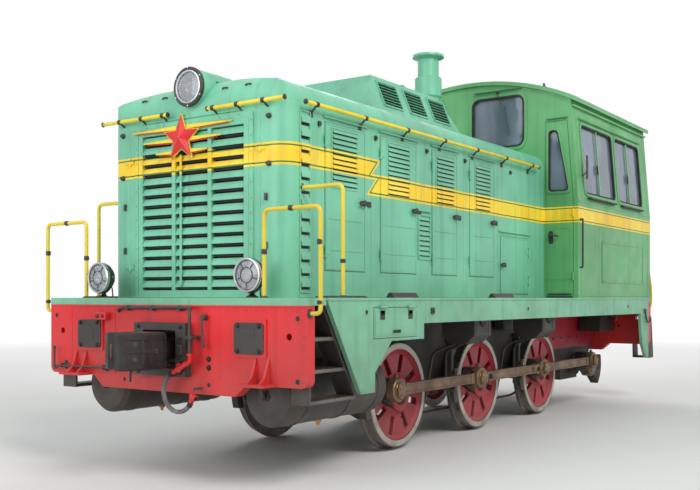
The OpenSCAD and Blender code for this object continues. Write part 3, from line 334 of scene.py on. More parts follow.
class Piece:
    """A mesh in the making. What is added passes through self.turn first, and takes the finish numbered mark."""

    def __init__(self, name, body, slot, *finishes):
        self.name, self.body, self.slot, self.finishes = name, body, slot, finishes
        self.verts, self.faces, self.marks = [], [], []
        self.turn = Matrix()

    def add(self, verts, faces, mark=0):
        base = len(self.verts)
        self.verts += [self.turn @ Vector(v) for v in verts]
        self.faces += [[base + i for i in face] for face in faces]
        self.marks += [mark] * len(faces)

    def box(self, low, high, mark=0, chamfer=0.003):
        """A box between two corners with chamfered edges."""
        c = min(chamfer, *(abs(h - l) * 0.4 for l, h in zip(low, high)))
        verts, faces, corners = [], [], [(x, y, z) for x in (0, 1) for y in (0, 1) for z in (0, 1)]
        spot = {}
        for corner in corners:
            for axis in range(3):
                spot[corner, axis] = len(verts)
                verts.append([(high[i] - (c if i != axis else 0)) if corner[i] else (low[i] + (c if i != axis else 0))
                              for i in range(3)])
        ring = [(0, 0), (0, 1), (1, 1), (1, 0)]
        for axis in range(3):
            p, q = [i for i in range(3) if i != axis]
            for side in (0, 1):
                loop = [tuple({axis: side, p: a, q: b}[i] for i in range(3)) for a, b in ring]
                faces.append([spot[k, axis] for k in loop])
            for a, b in ring:
                ends = [tuple({axis: s, p: a, q: b}[i] for i in range(3)) for s in (0, 1)]
                faces.append([spot[ends[0], p], spot[ends[1], p], spot[ends[1], q], spot[ends[0], q]])
        faces += [[spot[k, 0], spot[k, 1], spot[k, 2]] for k in corners]
        self.add(verts, faces, mark)

    def prism(self, outline, axis, a, b, mark=0, chamfer=0.0):
        """An outline in the plane across axis, drawn out from a to b."""
        i, j, k = CAPS[axis]
        rings = [(outline, a), (outline, b)]
        if chamfer:
            small = inset(outline, chamfer)
            rings = [(small, a), (outline, a + chamfer), (outline, b - chamfer), (small, b)]
        verts = []
        for points, depth in rings:
            for p in points:
                v = [0, 0, 0]
                v[i], v[j], v[k] = p[0], p[1], depth
                verts.append(v)
        n = len(outline)
        faces = [list(range(n)), list(range((len(rings) - 1) * n, len(rings) * n))]
        for r in range(len(rings) - 1):
            faces += [[r * n + s, r * n + (s + 1) % n, (r + 1) * n + (s + 1) % n, (r + 1) * n + s] for s in range(n)]
        self.add(verts, faces, mark)

    def frame(self, outer, inner, axis, a, b, mark=0):
        """The ring between two outlines with as many points each, drawn out from a to b."""
        i, j, k = CAPS[axis]
        verts = []
        for points, depth in ((outer, a), (outer, b), (inner, b), (inner, a)):
            for p in points:
                v = [0, 0, 0]
                v[i], v[j], v[k] = p[0], p[1], depth
                verts.append(v)
        n = len(outer)
        faces = [[r * n + s, r * n + (s + 1) % n, (r + 1) % 4 * n + (s + 1) % n, (r + 1) % 4 * n + s]
                 for r in range(4) for s in range(n)]
        self.add(verts, faces, mark)

    def lathe(self, profile, origin, axis="z", mark=0, steps=32, closed=False, sign=1):
        """A profile of (radius, distance along axis) turned round it."""
        i, j, k = CAPS[axis]
        verts, rings = [], []
        for r, t in profile:
            if r < 1e-6:
                v = list(origin)
                v[k] += t * sign
                rings.append([len(verts)] * steps)
                verts.append(v)
                continue
            rings.append(list(range(len(verts), len(verts) + steps)))
            for s in range(steps):
                v = list(origin)
                v[i] += r * cos(2 * pi * s / steps)
                v[j] += r * sin(2 * pi * s / steps)
                v[k] += t * sign
                verts.append(v)
        faces = []
        if closed:
            rings.append(rings[0])
        for low, high in zip(rings, rings[1:]):
            for s in range(steps):
                face = [low[s], low[(s + 1) % steps], high[(s + 1) % steps], high[s]]
                face = list(dict.fromkeys(face))
                if len(face) > 2:
                    faces.append(face)
        self.add(verts, faces, mark)

    def disc(self, origin, axis, r, length, mark=0, steps=24, chamfer=0.004, sign=1):
        """A solid round bar from origin along axis, with chamfered ends."""
        c = min(chamfer, r * 0.4, abs(length) * 0.4)
        self.lathe([(0, 0), (r - c, 0), (r, c), (r, length - c), (r - c, length), (0, length)], origin, axis, mark,
                   steps, sign=sign)

    def ring(self, origin, axis, r_in, r_out, length, mark=0, steps=32, sign=1):
        """A collar with chamfered outer edges."""
        c = min(0.003, (r_out - r_in) * 0.3)
        self.lathe([(r_in, 0), (r_out - c, 0), (r_out, c), (r_out, length - c), (r_out - c, length), (r_in, length)],
                   origin, axis, mark, steps, closed=True, sign=sign)

    def bolt(self, origin, axis, r, h, mark=0):
        """A hexagon head on a washer."""
        self.disc(origin, axis, r * 1.35, h * 0.25, mark, 12, 0.001)
        self.lathe([(0, h * 0.2), (r, h * 0.2), (r, h * 0.9), (r * 0.82, h), (0, h)], origin, axis, mark, 6)

    def tube(self, path, r, mark=0, sides=10, closed=False):
        """A round bar along a path, with flat ends. r is one radius, or one for each point."""
        path = [Vector(p) for p in path]
        n = len(path)
        radii = r if isinstance(r, (list, tuple)) else [r] * n
        verts, up = [], None
        for i, p in enumerate(path):
            a = path[i - 1] if i or closed else p
            b = path[(i + 1) % n] if i < n - 1 or closed else p
            along = (b - a).normalized()
            if up is None:
                up = along.orthogonal().normalized()
            up = (up - along * up.dot(along)).normalized()
            side = along.cross(up)
            verts += [p + (up * cos(2 * pi * s / sides) + side * sin(2 * pi * s / sides)) * radii[i]
                      for s in range(sides)]
        faces = []
        for i in range(n if closed else n - 1):
            j = (i + 1) % n
            faces += [[i * sides + s, i * sides + (s + 1) % sides, j * sides + (s + 1) % sides, j * sides + s]
                      for s in range(sides)]
        if not closed:
            faces += [list(range(sides)), list(range((n - 1) * sides, n * sides))]
        self.add(verts, faces, mark)

    def staple(self, a, b, lift, corner, r, mark=0, sides=8):
        """A round bar from foot a to foot b, held off by lift between them."""
        raised = [tuple(c + d for c, d in zip(foot, lift)) for foot in (a, b)]
        self.tube(bend([a, *raised, b], corner), r, mark, sides)

    def strip(self, x0, z0, x1, z1, h, mark=0, chamfer=0.003):
        """A square-cornered bar that stands h out of the plane."""
        self.box((x0, z0, -SUNK), (x1, z1, h), mark, chamfer)

    def plate(self, x0, z0, x1, z1, r, h, mark=0, chamfer=0.0):
        """A round-cornered plate that stands h out of the plane."""
        self.prism(rounded(x0, z0, x1, z1, r), "z", -SUNK, h, mark, chamfer)

    def rim(self, x0, z0, x1, z1, r, width, r_in, a, b, mark=0):
        """A flat rim on the plane: a round-cornered rectangle with a hole width further in."""
        hole = rounded(x0 + width, z0 + width, x1 - width, z1 - width, r_in)
        self.frame(rounded(x0, z0, x1, z1, r), hole, "z", a, b, mark)

    def sides(self):
        """Draws what follows on the left, then mirrored on the right."""
        for turn in (LEFT, RIGHT):
            self.turn = turn
            yield turn
        self.turn = Matrix()

    def done(self, smooth=32):
        """Makes the object on its body. Edges sharper than smooth degrees stay sharp."""
        mesh = bpy.data.meshes.new(self.name)
        mesh.from_pydata([tuple(v) for v in self.verts], [], self.faces)
        for finish in self.finishes:
            mesh.materials.append(finish)
        mesh.polygons.foreach_set("material_index", self.marks)
        solid = bmesh.new()
        solid.from_mesh(mesh)
        bmesh.ops.recalc_face_normals(solid, faces=solid.faces)
        solid.to_mesh(mesh)
        solid.free()
        mesh.shade_smooth()
        mesh.set_sharp_from_angle(angle=radians(smooth))
        made = bpy.data.objects.new(self.name, mesh)
        bpy.context.scene.collection.objects.link(made)
        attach(made, self.body)
        return made

# ---------- camera, light and floor ----------

LENS = 48.2
EYE = (9.84, 5.78, 1.518)
HEADING = 124.7
HORIZON_DROP = 0.0757
FLOOR_TONE = rgb(232, 230, 226)

camera = bpy.data.objects.new("camera", bpy.data.cameras.new("camera"))
bpy.context.scene.collection.objects.link(camera)
camera.location = EYE
camera.rotation_euler = (radians(90), 0, radians(HEADING))
camera.data.lens = LENS
camera.data.shift_y = HORIZON_DROP
bpy.context.scene.camera = camera
bpy.context.scene.view_settings.view_transform = "Standard"


def softbox(name, place, size, power, tint=(1, 1, 1)):
    """A square area lamp that faces the locomotive."""
    lamp = bpy.data.objects.new(name, bpy.data.lights.new(name, "AREA"))
    bpy.context.scene.collection.objects.link(lamp)
    lamp.location = place
    lamp.rotation_mode = "QUATERNION"
    lamp.rotation_quaternion = (Vector((0, 0, 1.8)) - Vector(place)).to_track_quat("-Z", "Y")
    lamp.data.size = size
    lamp.data.energy = power
    lamp.data.color = tint


softbox("key", (7, 13, 13), 7, 1750, (1, 0.985, 0.96))
softbox("front_fill", (15, -3, 6), 8, 620, (0.95, 0.98, 1))
softbox("rear_fill", (-13, -9, 9), 8, 900)


def seen_directly(tree):
    """1 for camera, glossy and transmitted rays, which show the background as it is."""
    path = tree.nodes.new("ShaderNodeLightPath")
    share = path.outputs["Is Camera Ray"]
    for name in ("Is Glossy Ray", "Is Transmission Ray"):
        joined = tree.nodes.new("ShaderNodeMath")
        joined.operation = "MAXIMUM"
        tree.links.new(share, joined.inputs[0])
        tree.links.new(path.outputs[name], joined.inputs[1])
        share = joined.outputs[0]
    return share


world = bpy.data.worlds.new("studio")
bpy.context.scene.world = world
world.use_nodes = True
tree = world.node_tree
ambient = tree.nodes["Background"]
ambient.inputs["Color"].default_value = (0.9, 0.95, 1, 1)
ambient.inputs["Strength"].default_value = 0.5
backdrop = tree.nodes.new("ShaderNodeBackground")
backdrop.inputs["Color"].default_value = (1, 1, 1, 1)
choice = tree.nodes.new("ShaderNodeMixShader")
tree.links.new(seen_directly(tree), choice.inputs[0])
tree.links.new(ambient.outputs[0], choice.inputs[1])
tree.links.new(backdrop.outputs[0], choice.inputs[2])
tree.links.new(choice.outputs[0], tree.nodes["World Output"].inputs["Surface"])


def pale_floor():
    """A wide pale floor that keeps the shadow and fades to white far out."""
    mesh = bpy.data.meshes.new("floor")
    reach = 90
    mesh.from_pydata([(x * reach, y * reach, 0) for x, y in ((-1, -1), (1, -1), (1, 1), (-1, 1))], [], [(0, 1, 2, 3)])
    floor = bpy.data.objects.new("floor", mesh)
    bpy.context.scene.collection.objects.link(floor)
    f = Finish("floor")
    tone = f.mix(f.span(f.noise(0.6), 0.3, 0.7), FLOOR_TONE, shade(FLOOR_TONE, 0.97))
    f.done(tone, 0.85)
    away = f.math("SQRT", f.math("ADD", f.math("POWER", f.x, 2), f.math("POWER", f.y, 2)))
    glow = f.node("ShaderNodeEmission")
    glow.inputs["Color"].default_value = (1, 1, 1, 1)
    blend = f.node("ShaderNodeMixShader")
    far = f.math("MULTIPLY", f.span(away, 6.5, 24), seen_directly(f.tree))
    f.put(blend.inputs[0], far)
    f.put(blend.inputs[1], f.shader.outputs[0])
    f.put(blend.inputs[2], glow.outputs[0])
    f.put(f.tree.nodes["Material Output"].inputs["Surface"], blend.outputs[0])
    mesh.materials.append(f.material)


pale_floor()

# ---------- brake hoses ----------

HOSE_X = 4.33
HOSE_R = 0.019
HOSE_ARC = (0.25, 0.75, 0.165)
PIPE_Y = 0.38
for end, turn in (("front", FRONT), ("rear", Matrix.Diagonal((-1, -1, 1, 1)))):
    route = [turn @ Vector((HOSE_X, y, z)) for y, z in arc(*HOSE_ARC, 115, 330, 36)]
    p = Piece("brake_hose_" + end, "root", "hose_rubber", hose_rubber)
    p.tube(route, HOSE_R, 0, 20)
    hose = p.done()
    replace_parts(hose, "brake_hoses")

    start, stop = Vector((HOSE_X, 0.1803, 0.8995)), Vector((HOSE_X, 0.3929, 0.6675))
    p = Piece("brake_head_" + end, "root", "red_paint", star_red, iron, black)
    p.turn = turn
    out = Vector((0, 0.5, 0.866))
    p.tube([stop - out * 0.036, stop - out * 0.03, stop + out * 0.012, stop + out * 0.02],
           [0.0215, 0.0235, 0.0235, 0.019], 1, 20)
    p.tube([stop + out * t for t in (0.004, 0.012, 0.022, 0.036, 0.05, 0.058)],
           [0.02, 0.025, 0.02, 0.024, 0.027, 0.02], 0, 20)
    p.turn = turn @ at(stop + out * 0.054, (1, 0, 0), out, (0, 0.866, -0.5))
    p.prism(rounded(-0.026, -0.016, 0.026, 0.026, 0.012), "z", -0.026, 0.03, 0, 0.004)
    p.disc((0, 0.006, 0.024), "z", 0.02, 0.009, 1, 24)
    p.turn = turn
    head = p.done()
    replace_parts(head, "brake_hoses")

    # Angle cock, its lever, the pipe that feeds it and the hook that holds the head
    p = Piece("brake_pipe_" + end, "root", "black_paint", black, star_red, iron)
    p.turn = turn
    cock = Vector((HOSE_X, PIPE_Y, 1.005))
    slant = (start - cock).normalized()
    p.tube([start - slant * t for t in (-0.034, -0.03, 0.006, 0.012)], [0.0215, 0.0235, 0.0235, 0.02], 2, 20)
    p.tube([start - slant * t for t in (0.012, 0.02, 0.03, 0.05, 0.06, 0.11, 0.12, 0.16, 0.17, 0.2)],
           [0.016, 0.024, 0.024, 0.018, 0.022, 0.028, 0.026, 0.022, 0.026, 0.02], 1, 20)
    p.tube(bend([cock + slant * 0.05, cock + Vector((0, 0.004, -0.006)), cock + Vector((0, 0, 0.06))], 0.04, 6),
           0.021, 1, 18)
    p.lathe([(0.014, 0.03), (0.026, 0.03), (0.026, 0.056), (0.021, 0.06), (0.014, 0.06)], cock, "z", 1, 6, closed=True)
    body = start - slant * 0.09
    p.disc(body - Vector((0, 0, 0.032)), "z", 0.019, 0.075, 1, 18, 0.004)
    p.tube(bend([body + Vector((0, 0, 0.03)), body + Vector((0.012, 0, 0.052)), body + Vector((0.034, 0.01, 0.054)),
                 body + Vector((0.036, 0.13, 0.1))], 0.016), 0.007, 2, 10)
    p.tube(bend([cock + Vector((0, 0, 0.05)), (HOSE_X, PIPE_Y, 1.36), (HOSE_X - 0.01, PIPE_Y - 0.012, 1.425),
                 (4.27, 0.33, 1.436), (4.262, -0.5, 1.436), (4.25, -0.56, 1.42), (4.232, -0.57, 1.40)], 0.05),
           0.0135, 0, 14)
    for y in (0.2, -0.12, -0.42):
        p.box((4.229, y - 0.012, 1.41), (4.279, y + 0.012, 1.455), 0, 0.004)
    p.box((4.23, PIPE_Y - 0.03, 1.18), (HOSE_X + 0.02, PIPE_Y + 0.03, 1.21), 0, 0.006)
    p.bolt((HOSE_X - 0.045, PIPE_Y, 1.21), "z", 0.011, 0.012, 2)
    p.box((4.229, 0.395, 0.772), (HOSE_X - 0.03, 0.43, 0.788), 0, 0.003)
    p.tube(bend([(HOSE_X - 0.032, 0.413, 0.78), (HOSE_X - 0.004, 0.42, 0.782), (HOSE_X + 0.002, 0.436, 0.768)],
                0.01), 0.006, 0, 10)
    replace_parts(p.done(), "brake_hoses")
    tuple(route[0])
    [tuple(v) for v in route]

# ---------- CAD nodes that stay ----------

STAYING = {
    "hood_side hood_front hood_roof hood_door hatch_door roof_box front_grille exhaust_stack": hood_paint,
    "cab_body cab_roof cab_door": cab_paint,
    "skirt locker_lid deck": skirt_paint,
    "front_beam rear_beam": red_paint,
    "main_frame suspension brake_gear sand_boxes steps air_tanks transmission": black,
    "cab_windows cab_door_glass": pane,
    "engine_block": engine_paint, "control_desk": desk_paint, "driver_seats": seat_leather,
    "lamps": chrome, "handrails": yellow, "brake_hoses": hose_rubber, "horns": black,
    "wheelset": crimson, "jackshaft side_rod": rod, "coupler": iron,
}
for starts, finish in STAYING.items():
    for node in nodes.values():
        if node.name.startswith(tuple(starts.split())) and not (finish is cab_paint and "glass" in node.name):
            node.data.materials.clear()
            node.data.materials.append(finish)

# ---------- wheels and rods ----------

AXLE_Z = 0.553
WHEEL_R = 0.525
FLANGE_R = 0.553
AXLE_X = {"wheelset_front": 1.86, "wheelset_middle": 0.11, "wheelset_rear": -1.64}
JACK_X = -3.39
CRANK_R = 0.3
CRANK_ANGLE = {1: 15, -1: 105}
WHEEL_IN, WHEEL_OUT = 0.72, 0.85
BOSS_OUT = 0.93
ROD_IN, ROD_OUT = 0.94, 1.05
PIN_OUT = 1.06
EYE_R = 0.12
PIN_R = 0.055
AXLE_R = 0.095
WEB_IN, WEB_OUT = WHEEL_IN + 0.045, WHEEL_IN + 0.095


def crank_turn(x, side, angle):
    """Places what is drawn round a wheel's centre, crank towards +X, at a wheel on one side."""
    centre = Matrix.Translation((x, 0, AXLE_Z))
    return Matrix.Diagonal((1, side, 1, 1)) @ centre @ Matrix.Rotation(radians(-angle), 4, "Y")


def wheel_half(p, x, side):
    """One wheel. Marks: 0 crimson, 1 tyre face, 2 tread, 3 black boss, 4 steel."""
    p.turn = crank_turn(x, side, CRANK_ANGLE[side])
    hub, rim, half_slot, slots = 0.205, 0.43, 0.034, 8
    # Tyre: flange, tread and outer face, over the crimson rim
    p.lathe([(0.455, WHEEL_IN + 0.002), (0.545, WHEEL_IN), (FLANGE_R - 0.004, WHEEL_IN + 0.006),
             (FLANGE_R, WHEEL_IN + 0.014), (FLANGE_R - 0.004, WHEEL_IN + 0.022), (WHEEL_R + 0.004, WHEEL_IN + 0.032),
             (WHEEL_R, WHEEL_IN + 0.044), (WHEEL_R - 0.003, WHEEL_OUT - 0.012), (WHEEL_R - 0.01, WHEEL_OUT - 0.002),
             (0.455, WHEEL_OUT - 0.002)], (0, 0, 0), "y", 2, 96, closed=True)
    p.lathe([(0.4555, WHEEL_OUT - 0.004), (WHEEL_R - 0.012, WHEEL_OUT - 0.004), (WHEEL_R - 0.016, WHEEL_OUT),
             (0.4555, WHEEL_OUT)], (0, 0, 0), "y", 1, 96, closed=True)
    p.lathe([(rim - 0.012, WEB_IN - 0.012), (0.455, WHEEL_IN + 0.012), (0.455, WHEEL_OUT - 0.012),
             (0.449, WHEEL_OUT - 0.006), (0.441, WHEEL_OUT - 0.012), (rim, WEB_OUT + 0.016), (rim - 0.022, WEB_OUT),
             (rim - 0.022, WEB_IN)], (0, 0, 0), "y", 0, 96, closed=True)
    # Web between the openings, drawn as eight sectors
    for i in range(slots):
        a0, a1 = i * 45, (i + 1) * 45
        o0, o1 = (0 if i == 0 else 1), (0 if i == slots - 1 else 1)
        cut = [degrees(asin(half_slot / r)) for r in (rim, hub)]
        outer = arc(0, 0, rim, a0 + cut[0] * o0, a1 - cut[0] * o1, 8)
        p.prism(outer + arc(0, 0, hub, a1 - cut[1] * o1, a0 + cut[1] * o0, 6), "y", WEB_IN, WEB_OUT, 0, 0.004)
        if i:
            for r in (0.252, 0.398):
                a = radians(a0)
                p.box((r * cos(a) - 0.004, WEB_IN, r * sin(a) - 0.004),
                      (r * cos(a) + 0.004, WEB_OUT - 0.02, r * sin(a) + 0.004))
    # Hub with its turned steps and the axle's end
    p.lathe([(AXLE_R, WHEEL_IN - 0.03), (0.168, WHEEL_IN - 0.03), (0.176, WHEEL_IN - 0.02), (0.2, WEB_IN),
             (0.224, WEB_IN + 0.004), (0.224, WEB_OUT - 0.004), (0.2, WEB_OUT + 0.006), (0.172, WHEEL_OUT - 0.004),
             (0.166, WHEEL_OUT + 0.018), (0.158, WHEEL_OUT + 0.022), (AXLE_R + 0.012, WHEEL_OUT + 0.022),
             (AXLE_R, WHEEL_OUT + 0.012)], (0, 0, 0), "y", 0, 48, closed=True)
    p.lathe([(0, WHEEL_OUT - 0.02), (AXLE_R - 0.002, WHEEL_OUT - 0.02), (AXLE_R - 0.002, WHEEL_OUT + 0.004),
             (AXLE_R - 0.012, WHEEL_OUT + 0.008), (0.03, WHEEL_OUT + 0.008), (0.012, WHEEL_OUT - 0.004),
             (0, WHEEL_OUT - 0.004)], (0, 0, 0), "y", 4, 32)
    # Crank arm, boss and pin
    arm = arc(CRANK_R, 0, 0.112, -78, 78, 14) + arc(0, 0, 0.175, 100, 260, 14)
    p.prism(arm, "y", WEB_IN + 0.01, WHEEL_OUT + 0.012, 3, 0.01)
    p.lathe([(0, WEB_IN + 0.01), (0.105, WEB_IN + 0.01), (0.105, BOSS_OUT - 0.03), (0.099, BOSS_OUT - 0.018),
             (0.088, BOSS_OUT), (0, BOSS_OUT)], (CRANK_R, 0, 0), "y", 3, 36)
    crank_pin(p, CRANK_R)


def crank_pin(p, x):
    """The pin at the crank's end, with its collar and its bolted cap."""
    p.lathe([(0, BOSS_OUT - 0.01), (PIN_R - 0.001, BOSS_OUT - 0.01), (PIN_R - 0.001, PIN_OUT), (0.078, PIN_OUT),
             (0.08, PIN_OUT + 0.003), (0.08, PIN_OUT + 0.014), (0.07, PIN_OUT + 0.02), (0.052, PIN_OUT + 0.021),
             (0.044, PIN_OUT + 0.025), (0, PIN_OUT + 0.025)], (x, 0, 0), "y", 4, 36)
    for a, b in circle(x, 0, 0.062, 6):
        p.bolt((a, PIN_OUT + 0.019, b), "y", 0.007, 0.006, 3)


for body, x in AXLE_X.items():
    p = Piece(body + "_wheels", body, "wheel_paint", crimson, tyre_white, tread, iron, rod)
    for side in (1, -1):
        wheel_half(p, x, side)
    p.turn = Matrix.Translation((x, 0, AXLE_Z))
    p.lathe([(0, -WHEEL_OUT + 0.02), (AXLE_R - 0.002, -WHEEL_OUT + 0.02), (AXLE_R - 0.002, -0.69), (0.088, -0.66),
             (0.088, 0.66), (AXLE_R - 0.002, 0.69), (AXLE_R - 0.002, WHEEL_OUT - 0.02), (0, WHEEL_OUT - 0.02)],
            (0, 0, 0), "y", 3, 32)
    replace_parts(p.done(), body)

# crank_pin draws with marks 3 and 4 here too
p = Piece("jackshaft_cranks", "jackshaft", "rod_steel", iron, rod, tread, iron, rod)
for side in (1, -1):
    p.turn = crank_turn(JACK_X, side, CRANK_ANGLE[side])
    y0, y1 = WHEEL_IN + 0.06, BOSS_OUT
    p.lathe([(0, y0), (0.166, y0), (0.17, y0 + 0.004), (0.17, y1 - 0.03), (0.16, y1 - 0.016), (0.12, y1 - 0.012),
             (0.112, y1), (0, y1)], (0, 0, 0), "y", 1, 40)
    # Crank arm, counterweight with its bolts, and the boss
    arm = arc(CRANK_R, 0, 0.118, -80, 80, 14) + arc(0, 0, 0.165, 100, 260, 14)
    p.prism(arm, "y", y0 + 0.004, y1 - 0.02, 0, 0.008)
    weight = arc(0, 0, 0.388, 146, 214, 14) + arc(0, 0, 0.12, 250, 110, 8)
    p.prism(weight, "y", y0 + 0.004, y1 - 0.024, 0, 0.008)
    for a, b in arc(0, 0, 0.33, 156, 204, 1):
        p.bolt((a, y1 - 0.024, b), "y", 0.018, 0.014, 1)
    p.disc((CRANK_R, y1 - 0.03, 0), "y", 0.105, 0.03, 0, 36)
    crank_pin(p, CRANK_R)
    for a, b in circle(0, 0, 0.146, 10):
        p.box((a - 0.008, y1 - 0.022, b - 0.008), (a + 0.008, y1 - 0.008, b + 0.008), 1)
p.turn = Matrix.Translation((JACK_X, 0, AXLE_Z))
p.lathe([(0, -0.785), (AXLE_R - 0.001, -0.785), (AXLE_R - 0.001, 0.785), (0, 0.785)], (0, 0, 0), "y", 1, 32)
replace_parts(p.done(), "jackshaft")

for side, word in ((1, "left"), (-1, "right")):
    p = Piece(f"side_rod_{word}_forging", "side_rod_" + word, "rod_steel", rod, brass, iron)
    dx = CRANK_R * cos(radians(CRANK_ANGLE[side]))
    z = AXLE_Z + CRANK_R * sin(radians(CRANK_ANGLE[side]))
    p.turn = Matrix.Diagonal((1, side, 1, 1)) @ Matrix.Translation((dx, 0, z))
    eyes = [*AXLE_X.values(), JACK_X]
    mid = (ROD_IN + ROD_OUT) / 2
    for i, x in enumerate(eyes):
        play = 0.0005 if i == 0 else 0.001
        p.lathe([(0.072, ROD_IN + 0.004), (EYE_R - 0.012, ROD_IN + 0.004), (EYE_R - 0.002, ROD_IN + 0.016),
                 (EYE_R - 0.002, ROD_OUT - 0.016), (EYE_R - 0.012, ROD_OUT - 0.006), (0.072, ROD_OUT - 0.006)],
                (x, 0, 0), "y", 0, 40, closed=True)
        p.ring((x, ROD_IN + 0.001, 0), "y", PIN_R + play, 0.074, ROD_OUT - ROD_IN - 0.003, 1, 36)
        # Oil cup on top of the eye
        p.lathe([(0, EYE_R - 0.012), (0.026, EYE_R - 0.012), (0.026, EYE_R + 0.006), (0.019, EYE_R + 0.01),
                 (0.019, EYE_R + 0.026), (0.014, EYE_R + 0.03), (0, EYE_R + 0.03)], (x, mid, 0), "z", 0, 16)
    for front, rear in zip(eyes, eyes[1:]):
        a, b = rear + EYE_R * 0.8, front - EYE_R * 0.8
        c = (a + b) / 2
        half = [(a, 0.068), (a + 0.13, 0.052), (c, 0.058), (b - 0.13, 0.052), (b, 0.068)]
        outline = [(x, -h) for x, h in half] + [(x, h) for x, h in reversed(half)]
        p.prism(outline, "y", mid - 0.014, mid + 0.014, 0, 0.002)
        # Flanges above and below the fluted web
        for s in (1, -1):
            p.prism([(x, h * s) for x, h in half] + [(x, (h - 0.017) * s) for x, h in reversed(half)],
                    "y", mid - 0.03, mid + 0.03, 0, 0.003)
        for x in (a + 0.055, b - 0.055):
            p.box((x - 0.06, mid - 0.03, -0.05), (x + 0.06, mid + 0.03, 0.05), 0, 0.01)
    # Knuckle behind the middle eye and wedge blocks beside the eyes
    for x in (eyes[1] - 0.21, eyes[2] + 0.2):
        p.disc((x, mid - 0.046, 0), "y", 0.066, 0.092, 0, 28, 0.008)
        p.disc((x, mid + 0.046, 0), "y", 0.034, 0.008, 2, 20)
        p.bolt((x, mid + 0.054, 0), "y", 0.02, 0.012, 2)
        p.box((x - 0.09, mid - 0.036, -0.058), (x + 0.09, mid + 0.036, 0.058), 0, 0.012)
    for x in eyes:
        for d in (-0.135, 0.135):
            if eyes[-1] - 0.1 < x + d < eyes[0] + 0.1:
                p.box((x + d - 0.016, mid - 0.034, -0.066), (x + d + 0.016, mid + 0.034, 0.066), 2, 0.004)
                p.bolt((x + d, mid, 0.066), "z", 0.011, 0.012, 2)
    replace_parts(p.done(), "side_rod_" + word)

# ---------- planes for details: (a, b, c) is along, up, out ----------


def side_plane(y):
    """The left side's plane at y, read along X and up."""
    return at((0, y, 0), (1, 0, 0), (0, 0, 1), (0, 1, 0))


def front_plane(x):
    """A plane at x that faces forwards, read along Y and up."""
    return at((x, 0, 0), (0, 1, 0), (0, 0, 1), (1, 0, 0))


def rear_plane(x):
    """A plane at x that faces backwards, read along Y and up."""
    return at((x, 0, 0), (0, 1, 0), (0, 0, 1), (-1, 0, 0))


def louvres(p, x0, x1, z0, z1, count, depth=0.014, mark=0, gap=1):
    """Pressed blades that shed rain, each over a dark strip of painted shade in its slot, between two corners of the
    plane.
    """
    pitch = (z1 - z0) / count
    for i in range(count):
        z = z0 + i * pitch
        # Dark strip behind the blade: painted shade in the slot
        p.box((x0 + 0.006, z + pitch * 0.06, -0.002), (x1 - 0.006, z + pitch * 0.5, 0.0012), gap, 0.0002)
        p.prism([(z + pitch * 0.92, -0.002), (z + pitch * 0.9, 0.004), (z + pitch * 0.34, depth),
                 (z + pitch * 0.26, depth), (z + pitch * 0.26, depth - 0.003), (z + pitch * 0.8, 0.0005)],
                "x", x0, x1, mark)
        for x in (x0, x1 - 0.003):
            p.prism([(z + pitch * 0.9, -0.002), (z + pitch * 0.9, 0.003), (z + pitch * 0.3, depth - 0.001),
                     (z + pitch * 0.3, -0.002)], "x", x, x + 0.003, mark)


def rivets(p, points, r=0.007, h=0.004):
    """Round heads on the plane."""
    for a, b in points:
        p.lathe([(r, -0.001), (r * 0.96, h * 0.4), (r * 0.6, h * 0.85), (0, h)], (a, b, 0), "z", 0, 10)


def rivet_row(p, x, z0, pitch, count, r=0.0045, h=0.0025):
    """Rivets one above the other."""
    rivets(p, [(x, z0 + k * pitch) for k in range(count)], r, h)


def seam(p, x, z0, z1, h=0.0025, row=None):
    """A cover strip over a joint between sheets. A row (aside, first, pitch, count) puts rivets on both its sides."""
    p.strip(x - 0.0025, z0, x + 0.0025, z1, h, 0, 0.001)
    if row:
        for s in (-1, 1):
            rivet_row(p, x + s * row[0], *row[1:])

# ---------- beams ----------

